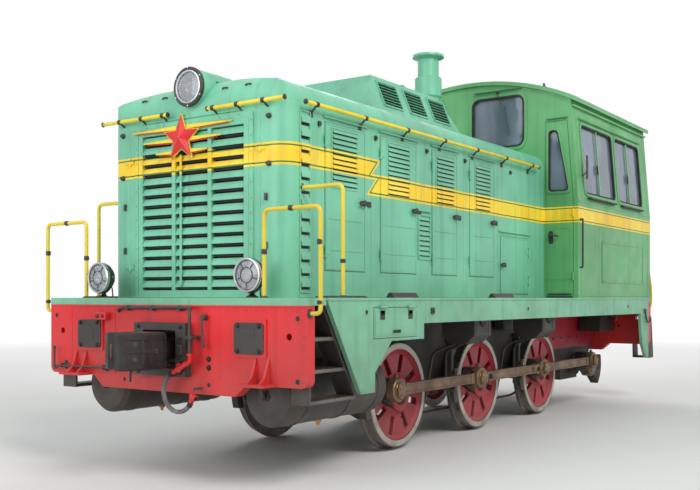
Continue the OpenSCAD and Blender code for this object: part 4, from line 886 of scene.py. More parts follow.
BEAM_X = 4.23
for end, turn in ENDS:
    p = Piece("beam_fittings_" + end, "root", "red_paint", red_paint, black, iron, painted_gap_shade)
    face = turn @ front_plane(BEAM_X)
    p.turn = face
    # Cover plates where side buffers would bolt on
    for y in (0.94, -0.94):
        p.prism(rounded(y - 0.15, 1.075, y + 0.15, 1.325, 0.03), "z", 0.0155, 0.027, 1, 0.002)
        p.prism(rounded(y - 0.06, 1.14, y + 0.06, 1.26, 0.02), "z", 0.026, 0.031, 1, 0.002)
        for a in (-0.11, 0.11):
            for b in (-0.1, 0.1):
                p.bolt((y + a, 1.2 + b, 0.027), "z", 0.016, 0.017, 2)
    # Striker's iron face round the coupler's pocket
    p.rim(-0.303, 0.867, 0.303, 1.313, 0.012, 0.006, 0.01, 0.0, 0.062, 1)
    p.frame(rounded(-0.303, 0.867, 0.303, 1.313, 0.012), rounded(-0.192, 0.928, 0.192, 1.252, 0.01),
            "z", 0.0598, 0.072, 1)
    for a in (-0.247, 0.247):
        for b in (0.9, 1.0, 1.18, 1.28):
            p.bolt((a, b, 0.072), "z", 0.015, 0.015, 2)
        p.box((a - 0.03, 1.05, 0.07), (a + 0.03, 1.13, 0.09), 1, 0.006)
    # Rolled edges, seams and rivet rows
    p.strip(-1.497, 1.444, 1.497, 1.458, 0.006, 0, 0.002)
    for y in (-1.2, -0.62, 0.62, 1.2):
        p.strip(y - 0.003, 0.85, y + 0.003, 1.43, 0.003, 0, 0.001)
    rivets(p, [(y * 0.1, 1.42) for y in range(-14, 15)], 0.009, 0.006)
    rivets(p, [(s * 1.47, 0.88 + i * 0.085) for s in (-1, 1) for i in range(7)], 0.009, 0.006)
    # Dark discs, most of them inside collars: painted shade standing for open holes
    for s in (-1, 1):
        for b in (0.88, 1.36):
            p.disc((s * 1.415, b, -0.002), "z", 0.021, 0.0032, 3, 20, 0.0005)
            p.ring((s * 1.415, b, -0.001), "z", 0.021, 0.028, 0.004, 0, 20)
        p.disc((s * 0.5, 0.81, -0.002), "z", 0.018, 0.0032, 3, 20, 0.0005)
    # Small tap box, isolating valve and the grab lever beside the striker
    p.plate(-0.85, 1.325, -0.69, 1.392, 0.012, 0.05, 0, 0.004)
    p.disc((-0.8, 1.358, 0.05), "z", 0.018, 0.012, 1, 18)
    p.bolt((-0.73, 1.358, 0.05), "z", 0.011, 0.01, 2)
    p.disc((0.47, 1.36, -0.001), "z", 0.024, 0.05, 1, 20)
    p.tube(bend([(0.47, 1.36, 0.045), (0.47, 1.3, 0.052), (0.475, 1.2, 0.046), (0.482, 1.12, 0.05)], 0.04),
           0.009, 1, 10)
    p.disc((0.483, 1.115, 0.05), "y", 0.014, 0.03, 1, 14, 0.004)
    for b in (1.02, 0.95):
        p.bolt((0.5, b, -0.001), "z", 0.018, 0.018, 2)
    # Uncoupling lever: handle, rod across the beam and brackets
    lever = bend([(-1.39, 1.06, 0.05), (-1.385, 0.86, 0.055), (-1.33, 0.9, 0.052), (-0.5, 0.905, 0.05),
                  (-0.36, 0.9, 0.062), (-0.335, 0.85, 0.085), (-0.33, 0.8, 0.09)], 0.03)
    p.tube(lever, 0.0105, 1, 12)
    p.disc((-1.39, 1.05, 0.05), "y", 0.016, 0.03, 1, 14, 0.006)
    for y in (-1.28, -0.72, -0.42):
        p.strip(y - 0.02, 0.87, y + 0.02, 0.945, 0.01, 1, 0.003)
        p.frame(circle(0.905, 0.05, 0.021, 16), circle(0.905, 0.05, 0.0105, 16), "x", y - 0.011, y + 0.011, 1)
        p.box((y - 0.01, 0.893, 0.008), (y + 0.01, 0.917, 0.032), 1, 0.002)
        for b in (0.88, 0.934):
            p.bolt((y, b, 0.009), "z", 0.007, 0.007, 2)
    p.done()

# ---------- couplers ----------

HEAD_X0, HEAD_X1 = 4.35, 4.84
HEAD = [(HEAD_X0, -0.12), (HEAD_X0, 0.12), (HEAD_X0 + 0.06, 0.2), (HEAD_X1 - 0.19, 0.21), (HEAD_X1 - 0.03, 0.15),
        (HEAD_X1, 0.12), (HEAD_X1, 0.06), (HEAD_X1 - 0.06, 0.02), (HEAD_X1 - 0.21, 0.06), (HEAD_X1 - 0.24, -0.03),
        (HEAD_X1 - 0.15, -0.09), (HEAD_X1 - 0.12, -0.15), (HEAD_X1 - 0.15, -0.215), (HEAD_X0 + 0.06, -0.205)]
for end, turn in ENDS:
    p = Piece("coupler_casting_" + end, "coupler_" + end, "coupler_iron", coupler_iron, rod, black, painted_gap_shade)
    p.turn = turn
    p.prism(HEAD, "z", 0.942, 1.238, 0, 0.014)
    # Ribs round the head, the guard over the jaw and the lock inside it
    for z in (0.985, 1.09, 1.195):
        p.prism(inset(HEAD, -0.006)[:5] + inset(HEAD, 0.02)[4:0:-1], "z", z - 0.013, z + 0.013, 0, 0.003)
        p.box((HEAD_X0 + 0.07, -0.2125, z - 0.013), (HEAD_X1 - 0.15, -0.203, z + 0.013), 0, 0.003)
    p.prism([(HEAD_X1 - 0.235, -0.02), (HEAD_X1 - 0.165, -0.01), (HEAD_X1 - 0.15, 0.03), (HEAD_X1 - 0.2, 0.05)],
            "z", 1.0, 1.18, 1, 0.006)
    p.prism([(HEAD_X1 - 0.2, -0.1), (HEAD_X1 - 0.13, -0.12), (HEAD_X1 - 0.13, -0.17), (HEAD_X1 - 0.18, -0.2)],
            "z", 1.03, 1.15, 1, 0.006)
    p.box((HEAD_X0 + 0.05, -0.13, 1.232), (HEAD_X0 + 0.2, 0.1, 1.2385), 2, 0.003)
    p.disc((HEAD_X0 + 0.13, 0.0, 1.234), "z", 0.045, 0.005, 1, 24, 0.001)
    for a, b in ((0.1, 0.15), (0.25, 0.16), (0.1, -0.16), (0.23, -0.16)):
        p.disc((HEAD_X0 + a, b, 1.2335), "z", 0.016, 0.0055, 1, 12, 0.001)
    # Ribbed side wall with its core holes, drawn as dark plates of painted shade, and the recessed face beside the jaw
    p.turn = turn @ at((HEAD_X0 + 0.06, 0.2, 0), (1, 0.0417, 0), (0, 0, 1), (-0.0417, 1, 0))
    p.rim(0.01, 0.955, 0.225, 1.225, 0.03, 0.024, 0.02, -0.001, 0.007)
    for a in (0.09, 0.145):
        p.strip(a - 0.008, 0.97, a + 0.008, 1.21, 0.0065, 0, 0.003)
    for b in (1.035, 1.145):
        p.plate(0.045, b - 0.03, 0.075, b + 0.03, 0.012, 0.0014, 3, 0.0004)
        p.plate(0.16, b - 0.03, 0.19, b + 0.03, 0.012, 0.0014, 3, 0.0004)
    p.disc((0.1175, 1.09, -0.001), "z", 0.022, 0.007, 2, 20, 0.002)
    face = hypot(0.16, 0.06)
    p.turn = turn @ at((HEAD_X1 - 0.19, 0.21, 0), (0.16 / face, -0.06 / face, 0), (0, 0, 1),
                       (0.06 / face, 0.16 / face, 0))
    p.rim(0.014, 0.96, face - 0.012, 1.22, 0.03, 0.02, 0.02, -0.004, 0.004)
    p.disc((face / 2, 1.15, -0.003), "z", 0.02, 0.006, 2, 18, 0.002)
    p.disc((face / 2, 1.03, -0.003), "z", 0.02, 0.006, 2, 18, 0.002)
    p.turn = turn
    # Shank into the pocket, with its pin eye at the tail
    p.box((3.99, -0.079, 1.011), (HEAD_X0 + 0.03, 0.079, 1.169), 0, 0.014)
    p.box((4.31, -0.11, 0.99), (HEAD_X0 + 0.03, 0.11, 1.19), 0, 0.012)
    p.lathe([(0.0462, 1.012), (0.1035, 1.012), (0.1045, 1.016), (0.1045, 1.164), (0.1035, 1.168), (0.0462, 1.168)],
            (3.95, 0, 0), "z", 0, 40, closed=True)
    # Release arm on the head's side
    p.disc((HEAD_X0 + 0.16, -0.213, 1.09), "y", 0.028, 0.012, 2, 20, 0.003, sign=-1)
    p.tube(bend([(HEAD_X0 + 0.16, -0.222, 1.09), (HEAD_X0 + 0.15, -0.224, 1.03), (HEAD_X0 + 0.12, -0.222, 0.985)],
                0.03), 0.009, 2, 10)
    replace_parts(p.done(), "coupler_" + end)

# ---------- hood sides ----------

HOOD_Y, LEAF_Y = 1.045, 1.050
DECK_Z = 1.52
DOORS = [(2.755, 3.385), (1.845, 2.515), (1.00, 1.55), (0.11, 0.73)]
DOOR_Z = (1.75, 3.03)
DOOR_LOUVRES = [(2.905, 3.275), (2.0, 2.38), (1.09, 1.45), (0.235, 0.585)]


def knob(p, x, z, mark=0, size=1.0):
    """A turning latch: a lozenge plate, a round boss and a lever, on the plane."""
    p.prism([(x - 0.05 * size, z), (x - 0.03 * size, z + 0.019), (x + 0.03 * size, z + 0.019), (x + 0.05 * size, z),
             (x + 0.03 * size, z - 0.019), (x - 0.03 * size, z - 0.019)], "z", -0.001, 0.006, mark, 0.002)
    p.lathe([(0.0225, 0), (0.0245, 0.004), (0.024, 0.026), (0.03, 0.03), (0.03, 0.036), (0.02, 0.0365), (0, 0.0365)],
            (x, z, 0), "z", mark, 20)
    p.prism(arc(x, z, 0.017, 90, 270, 6) + arc(x + 0.07 * size, z - 0.012, 0.009, -90, 90, 6),
            "z", 0.028, 0.04, mark, 0.003)
    for s in (-1, 1):
        p.bolt((x + s * 0.036 * size, z, 0.005), "z", 0.0045, 0.004, mark)


def leaf_rim(p, x0, x1, z0, z1):
    """A pressed rim just inside a door's edge."""
    p.rim(x0 + 0.012, z0 + 0.012, x1 - 0.012, z1 - 0.012, 0.012, 0.012, 0.008, -0.001, 0.0035)


for mirror, word in SIDES:
    for i, ((x0, x1), (l0, l1)) in enumerate(zip(DOORS, DOOR_LOUVRES), 1):
        body = f"hood_door_{word}_{i}"
        p = Piece(f"door_trim_{word}_{i}", body, "hood_paint", hood_paint, painted_gap_shade, black)
        p.turn = mirror @ side_plane(LEAF_Y)
        leaf_rim(p, x0, x1, *DOOR_Z)
        p.rim(l0 - 0.022, 2.47, l1 + 0.022, 3.0, 0.018, 0.018, 0.006, -0.001, 0.006)
        louvres(p, l0, l1, 2.49, 2.98, 11)
        for z in (1.93, 2.2):
            p.plate(x0 + 0.06, z - 0.006, x1 - 0.06, z + 0.006, 0.006, 0.0035, 0, 0.0015)
        knob(p, x0 + 0.06, 2.37, 2)
        rivet_row(p, x1 - 0.018, DOOR_Z[0] + 0.08, 0.14, 9, 0.005, 0.003)
        p.done()
    body = f"hatch_door_{word}"
    p = Piece(f"hatch_trim_{word}", body, "hood_paint", hood_paint, painted_gap_shade, black)
    p.turn = mirror @ side_plane(LEAF_Y)
    leaf_rim(p, -0.82, -0.04, 1.56, 2.24)
    knob(p, -0.10, 1.90, 2, 1.25)
    rivet_row(p, -0.8, 1.62, 0.11, 6, 0.005, 0.003)
    p.done()

p = Piece("hood_side_trim", "root", "hood_paint", hood_paint, painted_gap_shade, black)
for mirror in p.sides():
    p.turn = mirror @ side_plane(HOOD_Y)
    # Column louvre behind the front corner
    p.rim(3.585, 1.56, 3.735, 3.075, 0.014, 0.015, 0.006, -0.001, 0.009)
    louvres(p, 3.6, 3.72, 1.58, 3.055, 13, 0.02)
    # Fixed louvre between the doors
    p.rim(1.572, 1.9, 1.828, 2.36, 0.035, 0.022, 0.02, -0.001, 0.012)
    louvres(p, 1.6, 1.8, 1.93, 2.33, 8)
    # Drip guards over doors, louvre and hatch
    for x0, x1, z in [(x0 - 0.02, x1 + 0.02, 3.062) for x0, x1 in DOORS] + [(1.575, 1.825, 2.385), (-0.86, 0.0, 2.285)]:
        p.prism([(z - 0.006, 0.018), (z - 0.002, 0.024), (z + 0.014, 0.009), (z + 0.014, -0.001), (z + 0.006, -0.001),
                 (z + 0.004, 0.006)], "x", x0, x1)
    # Panel seams, a belt of rivets and the rail along the deck
    for x in (3.56, 2.66, 1.7, 0.865, 0.03, -0.93):
        z0 = 2.42 if x == 1.7 else 1.56
        seam(p, x, z0, 3.08, 0.0022, (0.016, z0 + 0.04, 0.1, int((3.04 - z0) / 0.1) + 1))
    p.strip(-1.29, 1.521, 3.74, 1.545, 0.008, 0, 0.002)
    rivets(p, [(-1.24 + k * 0.12, 1.64) for k in range(41)], 0.0045, 0.0025)
    for x in (2.7, 1.8, 0.955, 0.07):
        p.plate(x - 0.028, 2.345, x + 0.028, 2.395, 0.006, 0.012, 2, 0.002)
    # Stay hooks high on the side, with the small lamp sockets
    for x in (3.47, 2.6, 1.66, 0.84, -0.3):
        p.plate(x - 0.014, 2.97, x + 0.014, 3.015, 0.006, 0.022, 2, 0.003)
        p.disc((x, 2.992, 0.02), "z", 0.009, 0.012, 2, 12, 0.002)
    # Rubber pads and foot plates on the deck's edge
    p.turn = mirror
    for x0, x1 in ((2.55, 2.97), (0.53, 0.99)):
        p.prism([(1.4, DECK_Z), (1.43, DECK_Z + 0.045), (1.46, DECK_Z + 0.045), (1.49, DECK_Z)], "x", x0, x1, 2, 0.002)
    p.box((3.4, 1.30, DECK_Z - 0.001), (3.86, 1.497, DECK_Z + 0.012), 2, 0.003)
    for k in range(14):
        p.box((3.42 + k * 0.031, 1.31, DECK_Z + 0.011), (3.432 + k * 0.031, 1.487, DECK_Z + 0.016), 2, 0.001)
    p.box((3.68, 1.44, DECK_Z), (3.72, 1.48, DECK_Z + 0.02), 2, 0.003)
p.done()

# Eaves, roof seams, lifting hooks and roof hatches of the hood
CROWN_Z, EAVE_Z = 3.41, 3.10
p = Piece("hood_roof_trim", "root", "hood_paint", hood_paint, painted_gap_shade, black)
for _ in p.sides():
    for x in (3.35, 2.3, -1.1):
        p.staple((x - 0.03, 0.93, EAVE_Z + 0.12), (x + 0.03, 0.93, EAVE_Z + 0.12), (0, 0.02, 0.06), 0.02, 0.009, 2, 10)
        p.box((x - 0.05, 0.885, EAVE_Z + 0.105), (x + 0.05, 0.965, EAVE_Z + 0.135), 2, 0.004)
for x in (3.05, 2.35, -0.62):
    p.box((x - 0.018, -0.42, CROWN_Z - 0.008), (x + 0.018, 0.42, CROWN_Z + 0.008), 0, 0.003)
p.prism(rounded(2.5, -0.26, 2.9, 0.26, 0.05), "z", CROWN_Z - 0.012, CROWN_Z + 0.022, 0, 0.006)
p.staple((2.63, 0, CROWN_Z + 0.02), (2.77, 0, CROWN_Z + 0.02), (0, 0, 0.03), 0.02, 0.007, 2)
for s in (-1, 1):
    p.box((2.67, s * 0.26 - 0.02, CROWN_Z + 0.004), (2.73, s * 0.26 + 0.02, CROWN_Z + 0.03), 2, 0.004)
p.done()

# ---------- front of the hood ----------

NOSE_X, GRILLE_X, STRIP_X = 3.91, 3.895, 3.928
STAR = (3.932, -0.10, 2.915)

p = Piece("front_trim", "root", "hood_paint", hood_paint, painted_gap_shade, black)
p.turn = front_plane(NOSE_X)
# Raised frame round the grille, its bolts, the side seams and hinge straps
p.frame(rounded(-0.705, 1.521, 0.705, 3.075, 0.03), rounded(-0.662, 1.532, 0.662, 3.028, 0.012), "z", -0.001, 0.014)
for s in (-1, 1):
    for k in range(12):
        p.bolt((s * 0.684, 1.58 + k * 0.129, 0.013), "z", 0.008, 0.008)
    seam(p, s * 0.775, 1.54, 3.06, 0.0022)
    rivet_row(p, s * 0.795, 1.6, 0.1, 15, 0.005, 0.003)
    for z in (1.8, 2.76):
        p.strip(s * 0.73, z - 0.022, s * 0.83, z + 0.022, 0.008, 0, 0.003)
        p.disc((s * 0.775, z - 0.04, 0.008), "y", 0.011, 0.08, 0, 14, 0.003)
    for z in (1.95, 2.35):
        p.plate(s * 0.84 - 0.012, z - 0.03, s * 0.84 + 0.012, z + 0.03, 0.005, 0.02, 2, 0.003)
    for z in (2.62, 3.01):
        p.lathe([(0.022, -0.001), (0.024, 0.006), (0.017, 0.016), (0.02, 0.022), (0.016, 0.03), (0, 0.032)],
                (s * 0.87, z, 0), "z", 2, 16)
for a in (-0.55, -0.33, 0.33, 0.55):
    p.bolt((a, 3.052, 0.013), "z", 0.008, 0.008)
# Pressed lip along the foot and small hooks under the nose
p.strip(-0.88, 1.521, 0.88, 1.531, 0.02, 0, 0.003)
p.prism(rounded(-0.6, 3.088, 0.6, 3.104, 0.006), "z", -0.002, 0.012, 0, 0.003)
p.turn = Matrix()
for y in (-0.62, -0.36, 0.36, 0.62):
    p.staple((3.86, y - 0.03, 3.27), (3.86, y + 0.03, 3.27), (0.025, 0, 0.04), 0.015, 0.007, 2)
# Plain bar below the star
p.box((3.924, -0.128, 1.62), (3.938, -0.104, 2.78), 0, 0.004)
p.done()

p = Piece("front_star", "root", "yellow_paint", star_red, yellow)
p.turn = at(STAR, (0, 1, 0), (0, 0, 1), (1, 0, 0))
star = [(r * cos(radians(90 + 36 * k)), r * sin(radians(90 + 36 * k))) for k, r in enumerate((0.205, 0.088) * 5)]
wall = [[k, (k + 1) % 10, (k + 1) % 10 + 10, k + 10] for k in range(10)]
back = [list(range(9, -1, -1))]
p.add([(a * 1.1, b * 1.1, z) for z in (0, 0.012) for a, b in star], back + wall + [list(range(10, 20))], 1)
p.add([(a, b, z) for z in (0.011, 0.02) for a, b in star] + [(0, 0, 0.05)],
      wall + [[k + 10, (k + 1) % 10 + 10, 20] for k in range(10)] + back, 0)
# Tapering strips that spread from the star
p.turn = front_plane(STRIP_X)
for b, a0, a1 in ((3.012, -0.72, 0.49), (2.905, -0.57, 0.36), (2.80, -0.42, 0.2)):
    for start, tip in ((-0.16, a0), (-0.04, a1)):
        near = tip * 0.9 + start * 0.1
        p.prism([(start, b - 0.02), (tip, b - 0.006), (tip, b + 0.006), (start, b + 0.02)], "z", 0, 0.014, 1, 0.003)
        p.prism([(start, b - 0.032), (near, b - 0.018), (near, b - 0.012), (start, b - 0.024)], "z", 0, 0.008, 0, 0.001)
p.done(smooth=20)

# ---------- handrails ----------

RAIL_R = 0.017
LOOP_X, POLE_X = 4.19, 3.70
EAVES_Y, EAVES_Z, NOSE_RAIL_X = 1.11, 3.13, 3.97


def foot(p, x, y, z, axis, sign=1):
    """A rail's dark foot flange."""
    p.lathe([(RAIL_R * 0.9, 0.012), (RAIL_R + 0.004, 0.014), (RAIL_R + 0.006, 0.008), (0.036, 0.006), (0.036, 0),
             (RAIL_R * 0.9, 0)], (x, y, z), axis, 1, 20, closed=True, sign=sign)


def cuff(p, a, b):
    """A dark clip round a rail between two points."""
    p.tube([Vector(a), Vector(a).lerp(Vector(b), 0.1), Vector(a).lerp(Vector(b), 0.9), Vector(b)],
           [RAIL_R + 0.003, RAIL_R + 0.006, RAIL_R + 0.006, RAIL_R + 0.003], 1, 14)


p = Piece("handrail_tubes", "root", "yellow_paint", yellow, black)
for _ in p.sides():
    # Loop beside the nose, pole on the deck and bow at the cab's rear
    loop = ((1.05, 1.521), (1.05, 2.21), (1.60, 2.21), (1.60, 1.40), (1.502, 1.40))
    p.tube(bend([(LOOP_X, y, z) for y, z in loop], 0.055, 7), RAIL_R, 0, 16)
    foot(p, LOOP_X, 1.05, 1.521, "z")
    foot(p, LOOP_X, 1.502, 1.40, "y")
    cuff(p, (LOOP_X, 1.05, 1.86), (LOOP_X, 1.05, 1.9))
    cuff(p, (LOOP_X, 1.594, 1.92), (LOOP_X, 1.594, 1.96))
    cuff(p, (LOOP_X, 1.3, 2.21), (LOOP_X, 1.34, 2.21))
    cuff(p, (LOOP_X, 1.594, 1.47), (LOOP_X, 1.594, 1.5))
    p.tube(bend([(POLE_X, 1.46, 1.521), (POLE_X, 1.46, 2.43), (POLE_X, 1.047, 2.43)], 0.06, 7), RAIL_R, 0, 16)
    foot(p, POLE_X, 1.46, 1.521, "z")
    foot(p, POLE_X, 1.047, 2.43, "y")
    cuff(p, (POLE_X, 1.46, 1.8), (POLE_X, 1.46, 1.83))
    bow = ((0.004, 2.15), (0.16, 2.09), (0.35, 1.75), (0.39, 1.60), (0.39, 1.44), (0.34, 1.38), (0.03, 1.36))
    p.tube(bend([(-4.2 - a, 1.40, z) for a, z in bow], 0.06, 5), RAIL_R, 0, 16)
    foot(p, -4.2, 1.40, 2.152, "x", sign=-1)
    foot(p, -4.23, 1.40, 1.36, "x", sign=-1)
    # Rail under the eaves, with dark brackets
    p.tube([(x, EAVES_Y, EAVES_Z) for x in (-1.0, -0.99, 3.72, 3.73)], [0.012, RAIL_R, RAIL_R, 0.012], 0, 16)
    for k in range(7):
        x = -0.8 + k * 0.73
        p.tube([(x, 1.044, 3.055), (x, 1.06, 3.075), (x, 1.105, 3.118)], 0.009, 1, 10)
        p.box((x - 0.026, 1.044, 3.03), (x + 0.026, 1.052, 3.085), 1, 0.002)
        cuff(p, (x - 0.02, EAVES_Y, EAVES_Z), (x + 0.02, EAVES_Y, EAVES_Z))
    for x, s in ((-1.0, -1), (3.73, 1)):
        p.lathe([(0, -0.006), (0.021, -0.006), (0.023, 0.004), (0.015, 0.014), (0, 0.015)], (x, EAVES_Y, EAVES_Z),
                "x", 1, 14, sign=s)
    # Short rail across the front
    p.tube([(NOSE_RAIL_X, y, EAVES_Z) for y in (0.235, 0.245, 1.07, 1.08)], [0.012, RAIL_R, RAIL_R, 0.012], 0, 16)
    for y in (0.3, 0.57, 0.855):
        p.tube([(3.905, y, 3.09), (3.93, y, 3.1), (3.965, y, 3.122)], 0.009, 1, 10)
        cuff(p, (NOSE_RAIL_X, y - 0.018, EAVES_Z), (NOSE_RAIL_X, y + 0.018, EAVES_Z))
    for y, s in ((0.235, -1), (1.08, 1)):
        p.lathe([(0, -0.006), (0.021, -0.006), (0.024, 0.002), (0.015, 0.005), (0, 0.005)], (NOSE_RAIL_X, y, EAVES_Z),
                "y", 1, 14, sign=s)
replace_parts(p.done(), "handrails")

# ---------- lamps ----------

LIGHT_Z = 3.35
BEAM_LAMP_Y, BEAM_LAMP_Z = 0.88, 1.70
REAR_LAMP_Z, REAR_ROOF_LAMP_Z = 1.9, 4.34


def lamp_face(p, x, y, z, r, shell, chrome_mark, glass_mark, mirror_mark, sign=1):
    """A rim, a bowl mirror with its bulb and a fluted lens, facing along X. x is the rim's front."""
    place = (x, y, z)
    p.lathe([(r * 0.86, 0.0), (r * 0.9, 0.006), (r * 0.97, 0.004), (r, -0.008), (r, -0.022), (r * 0.9, -0.022),
             (r * 0.86, -0.012)], place, "x", chrome_mark, 48, closed=True, sign=sign)
    p.lathe([(r * 0.88, -0.014), (r * 0.7, -0.004), (r * 0.4, 0.002), (0, 0.004), (0, 0.001), (r * 0.4, -0.001),
             (r * 0.7, -0.007), (r * 0.88, -0.017)], place, "x", glass_mark, 48, sign=sign)
    bowl = [(r * 0.87, -0.018), (r * 0.72, -shell * 0.45), (r * 0.45, -shell * 0.68), (r * 0.16, -shell * 0.78),
            (0, -shell * 0.79)]
    p.lathe(bowl + [(0, -shell * 0.82), (r * 0.16, -shell * 0.81), (r * 0.46, -shell * 0.71), (r * 0.74, -shell * 0.46),
                    (r * 0.89, -0.018)], place, "x", mirror_mark, 40, sign=sign)
    p.lathe([(0, -shell * 0.78), (0.014, -shell * 0.78), (0.014, -shell * 0.6), (0.02, -shell * 0.5),
             (0.018, -shell * 0.38), (0, -shell * 0.32)], place, "x", chrome_mark, 16, sign=sign)


p = Piece("headlight", "root", "hood_paint", hood_paint, chrome, lens, reflector, black)
p.lathe([(0.145, 0.42), (0.158, 0.44), (0.165, 0.425), (0.165, 0.26), (0.152, 0.26), (0.145, 0.3)],
        (3.51, 0, LIGHT_Z), "x", 0, 56, closed=True)
p.prism(arc(0, LIGHT_Z, 0.165, -4, 184, 24), "x", 3.50, 3.775, 0, 0.008)
p.box((3.5, -0.175, CROWN_Z - 0.01), (3.775, 0.175, CROWN_Z + 0.006), 0, 0.003)
p.lathe([(0.142, 0), (0.168, 0), (0.173, 0.006), (0.173, 0.03), (0.168, 0.036), (0.155, 0.04), (0.142, 0.036)],
        (3.93, 0, LIGHT_Z), "x", 4, 56, closed=True)
lamp_face(p, 3.962, 0, LIGHT_Z, 0.15, 0.13, 1, 2, 3)
p.lathe([(0, 0), (0.145, 0), (0.145, 0.012), (0, 0.012)], (3.79, 0, LIGHT_Z), "x", 4, 40)
for y, z in circle(0, LIGHT_Z, 0.164, 6, 30):
    p.bolt((3.965, y, z), "x", 0.006, 0.005, 1)
p.tube(bend([(3.6, 0.16, 3.44), (3.6, 0.2, 3.42), (3.5, 0.22, 3.41), (3.42, 0.22, 3.405)], 0.03), 0.008, 4, 8)
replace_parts(p.done(), "lamps")

for y, word in ((BEAM_LAMP_Y, "left"), (-BEAM_LAMP_Y, "right")):
    p = Piece("beam_lamp_" + word, "root", "lamp_metal", black, chrome, lens, reflector, iron)
    p.lathe([(0.118, -0.012), (0.137, -0.012), (0.137, -0.055), (0.126, -0.085), (0.1, -0.118), (0.06, -0.143),
             (0.03, -0.15), (0, -0.15), (0, -0.146), (0.1, -0.112), (0.118, -0.05)], (4.21, y, BEAM_LAMP_Z), "x", 0, 44)
    lamp_face(p, 4.204, y, BEAM_LAMP_Z, 0.14, 0.12, 1, 2, 3)
    # Wire guard before the lens: a small ring on five bars
    p.tube([(4.2085, *q) for q in circle(y, BEAM_LAMP_Z, 0.062, 24)], 0.003, 0, 8, closed=True)
    for q0, q1 in zip(circle(y, BEAM_LAMP_Z, 0.129, 5, 54), circle(y, BEAM_LAMP_Z, 0.062, 5, 54)):
        p.tube([(4.205, *q0), (4.2085, *q1)], 0.003, 0, 8)
    # Yoke, pivots and foot on the deck
    p.tube([(4.15, a, b - 0.004) for a, b in arc(y, BEAM_LAMP_Z, 0.135, 180, 360, 15)], 0.008, 0, 8)
    for s in (-1, 1):
        p.disc((4.15, y + s * 0.122, BEAM_LAMP_Z), "y", 0.014, 0.014, 1, 16, 0.003, sign=s)
    p.lathe([(0, 0), (0.05, 0), (0.05, 0.01), (0.03, 0.018), (0.021, 0.03), (0.021, 0.05), (0, 0.052)],
            (4.135, y, 1.5205), "z", 4, 24)
    for a, b in circle(4.135, y, 0.037, 4, 45):
        p.bolt((a, b, 1.53), "z", 0.006, 0.005, 4)
    p.tube(bend([(4.08, y, 1.66), (4.04, y, 1.62), (4.03, y, 1.54), (4.03, y, 1.521)], 0.03), 0.006, 0, 8)
    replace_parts(p.done(), "lamps")

for y, word in ((BEAM_LAMP_Y, "left"), (-BEAM_LAMP_Y, "right")):
    p = Piece("rear_lamp_" + word, "root", "lamp_metal", black, chrome, lens, reflector)
    p.lathe([(0, 0.0005), (0.07, 0.0005), (0.082, 0.02), (0.1, 0.04), (0.108, 0.07), (0.108, 0.095), (0.096, 0.1),
             (0.09, 0.05), (0, 0.03)], (-4.2, y, REAR_LAMP_Z), "x", 0, 40, sign=-1)
    lamp_face(p, -4.305, y, REAR_LAMP_Z, 0.11, 0.08, 1, 2, 3, sign=-1)
    p.prism(arc(y, 1.905, 0.11, 10, 170, 12) + arc(y, 1.905, 0.104, 170, 10, 12), "x", -4.309, -4.25, 0)
    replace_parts(p.done(), "lamps")

p = Piece("rear_roof_lamp", "root", "lamp_metal", cab_paint, chrome, lens, reflector, black)
p.prism(arc(0, 4.345, 0.136, -2, 182, 24), "x", -4.24, -3.91, 0, 0.006)
p.lathe([(0.12, 0), (0.138, 0), (0.14, 0.005), (0.14, 0.05), (0.12, 0.05)], (-4.298, 0, REAR_ROOF_LAMP_Z),
        "x", 4, 44, closed=True)
lamp_face(p, -4.294, 0, REAR_ROOF_LAMP_Z, 0.128, 0.05, 1, 2, 3, sign=-1)
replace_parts(p.done(), "lamps")

# ---------- roof box, stack and horns ----------

BOX_X, BOX_HW, BOX_TOP_HW, BOX_Z = (0.06, 2.04), 0.60, 0.43, (3.43, 3.83)
slope = hypot(BOX_HW - BOX_TOP_HW, BOX_Z[1] - BOX_Z[0])
up = (0, (BOX_TOP_HW - BOX_HW) / slope, (BOX_Z[1] - BOX_Z[0]) / slope)
p = Piece("roof_box_trim", "root", "hood_paint", hood_paint, painted_gap_shade, black)
for mirror in p.sides():
    p.turn = mirror @ at((0, BOX_HW, BOX_Z[0]), (1, 0, 0), up, (0, up[2], -up[1]))
    for x in (1.5, 0.98, 0.46):
        p.rim(x - 0.195, 0.075, x + 0.195, 0.385, 0.02, 0.02, 0.01, -0.001, 0.012)
        louvres(p, x - 0.17, x + 0.17, 0.1, 0.362, 7, 0.024)
        for a in (-0.185, 0.185):
            for b in (0.085, 0.375):
                p.bolt((x + a, b, 0.011), "z", 0.006, 0.006)
    p.turn = mirror
    p.box((BOX_X[0], BOX_HW - 0.004, 3.405), (BOX_X[1], BOX_HW + 0.02, 3.425), 0, 0.004)
for x in (0.55, 1.5):
    p.box((x - 0.012, -0.42, BOX_Z[1] - 0.004), (x + 0.012, 0.42, BOX_Z[1] + 0.006), 0, 0.003)
p.prism(rounded(0.72, -0.24, 1.32, 0.24, 0.05), "z", BOX_Z[1] - 0.004, BOX_Z[1] + 0.026, 0, 0.006)
for s in (-1, 1):
    p.box((0.98, s * 0.24 - 0.02, BOX_Z[1] + 0.004), (1.06, s * 0.24 + 0.02, BOX_Z[1] + 0.034), 2, 0.004)
    p.staple((0.46, s * 0.3, BOX_Z[1]), (0.54, s * 0.3, BOX_Z[1]), (0, 0, 0.05), 0.02, 0.008, 2)
p.done()

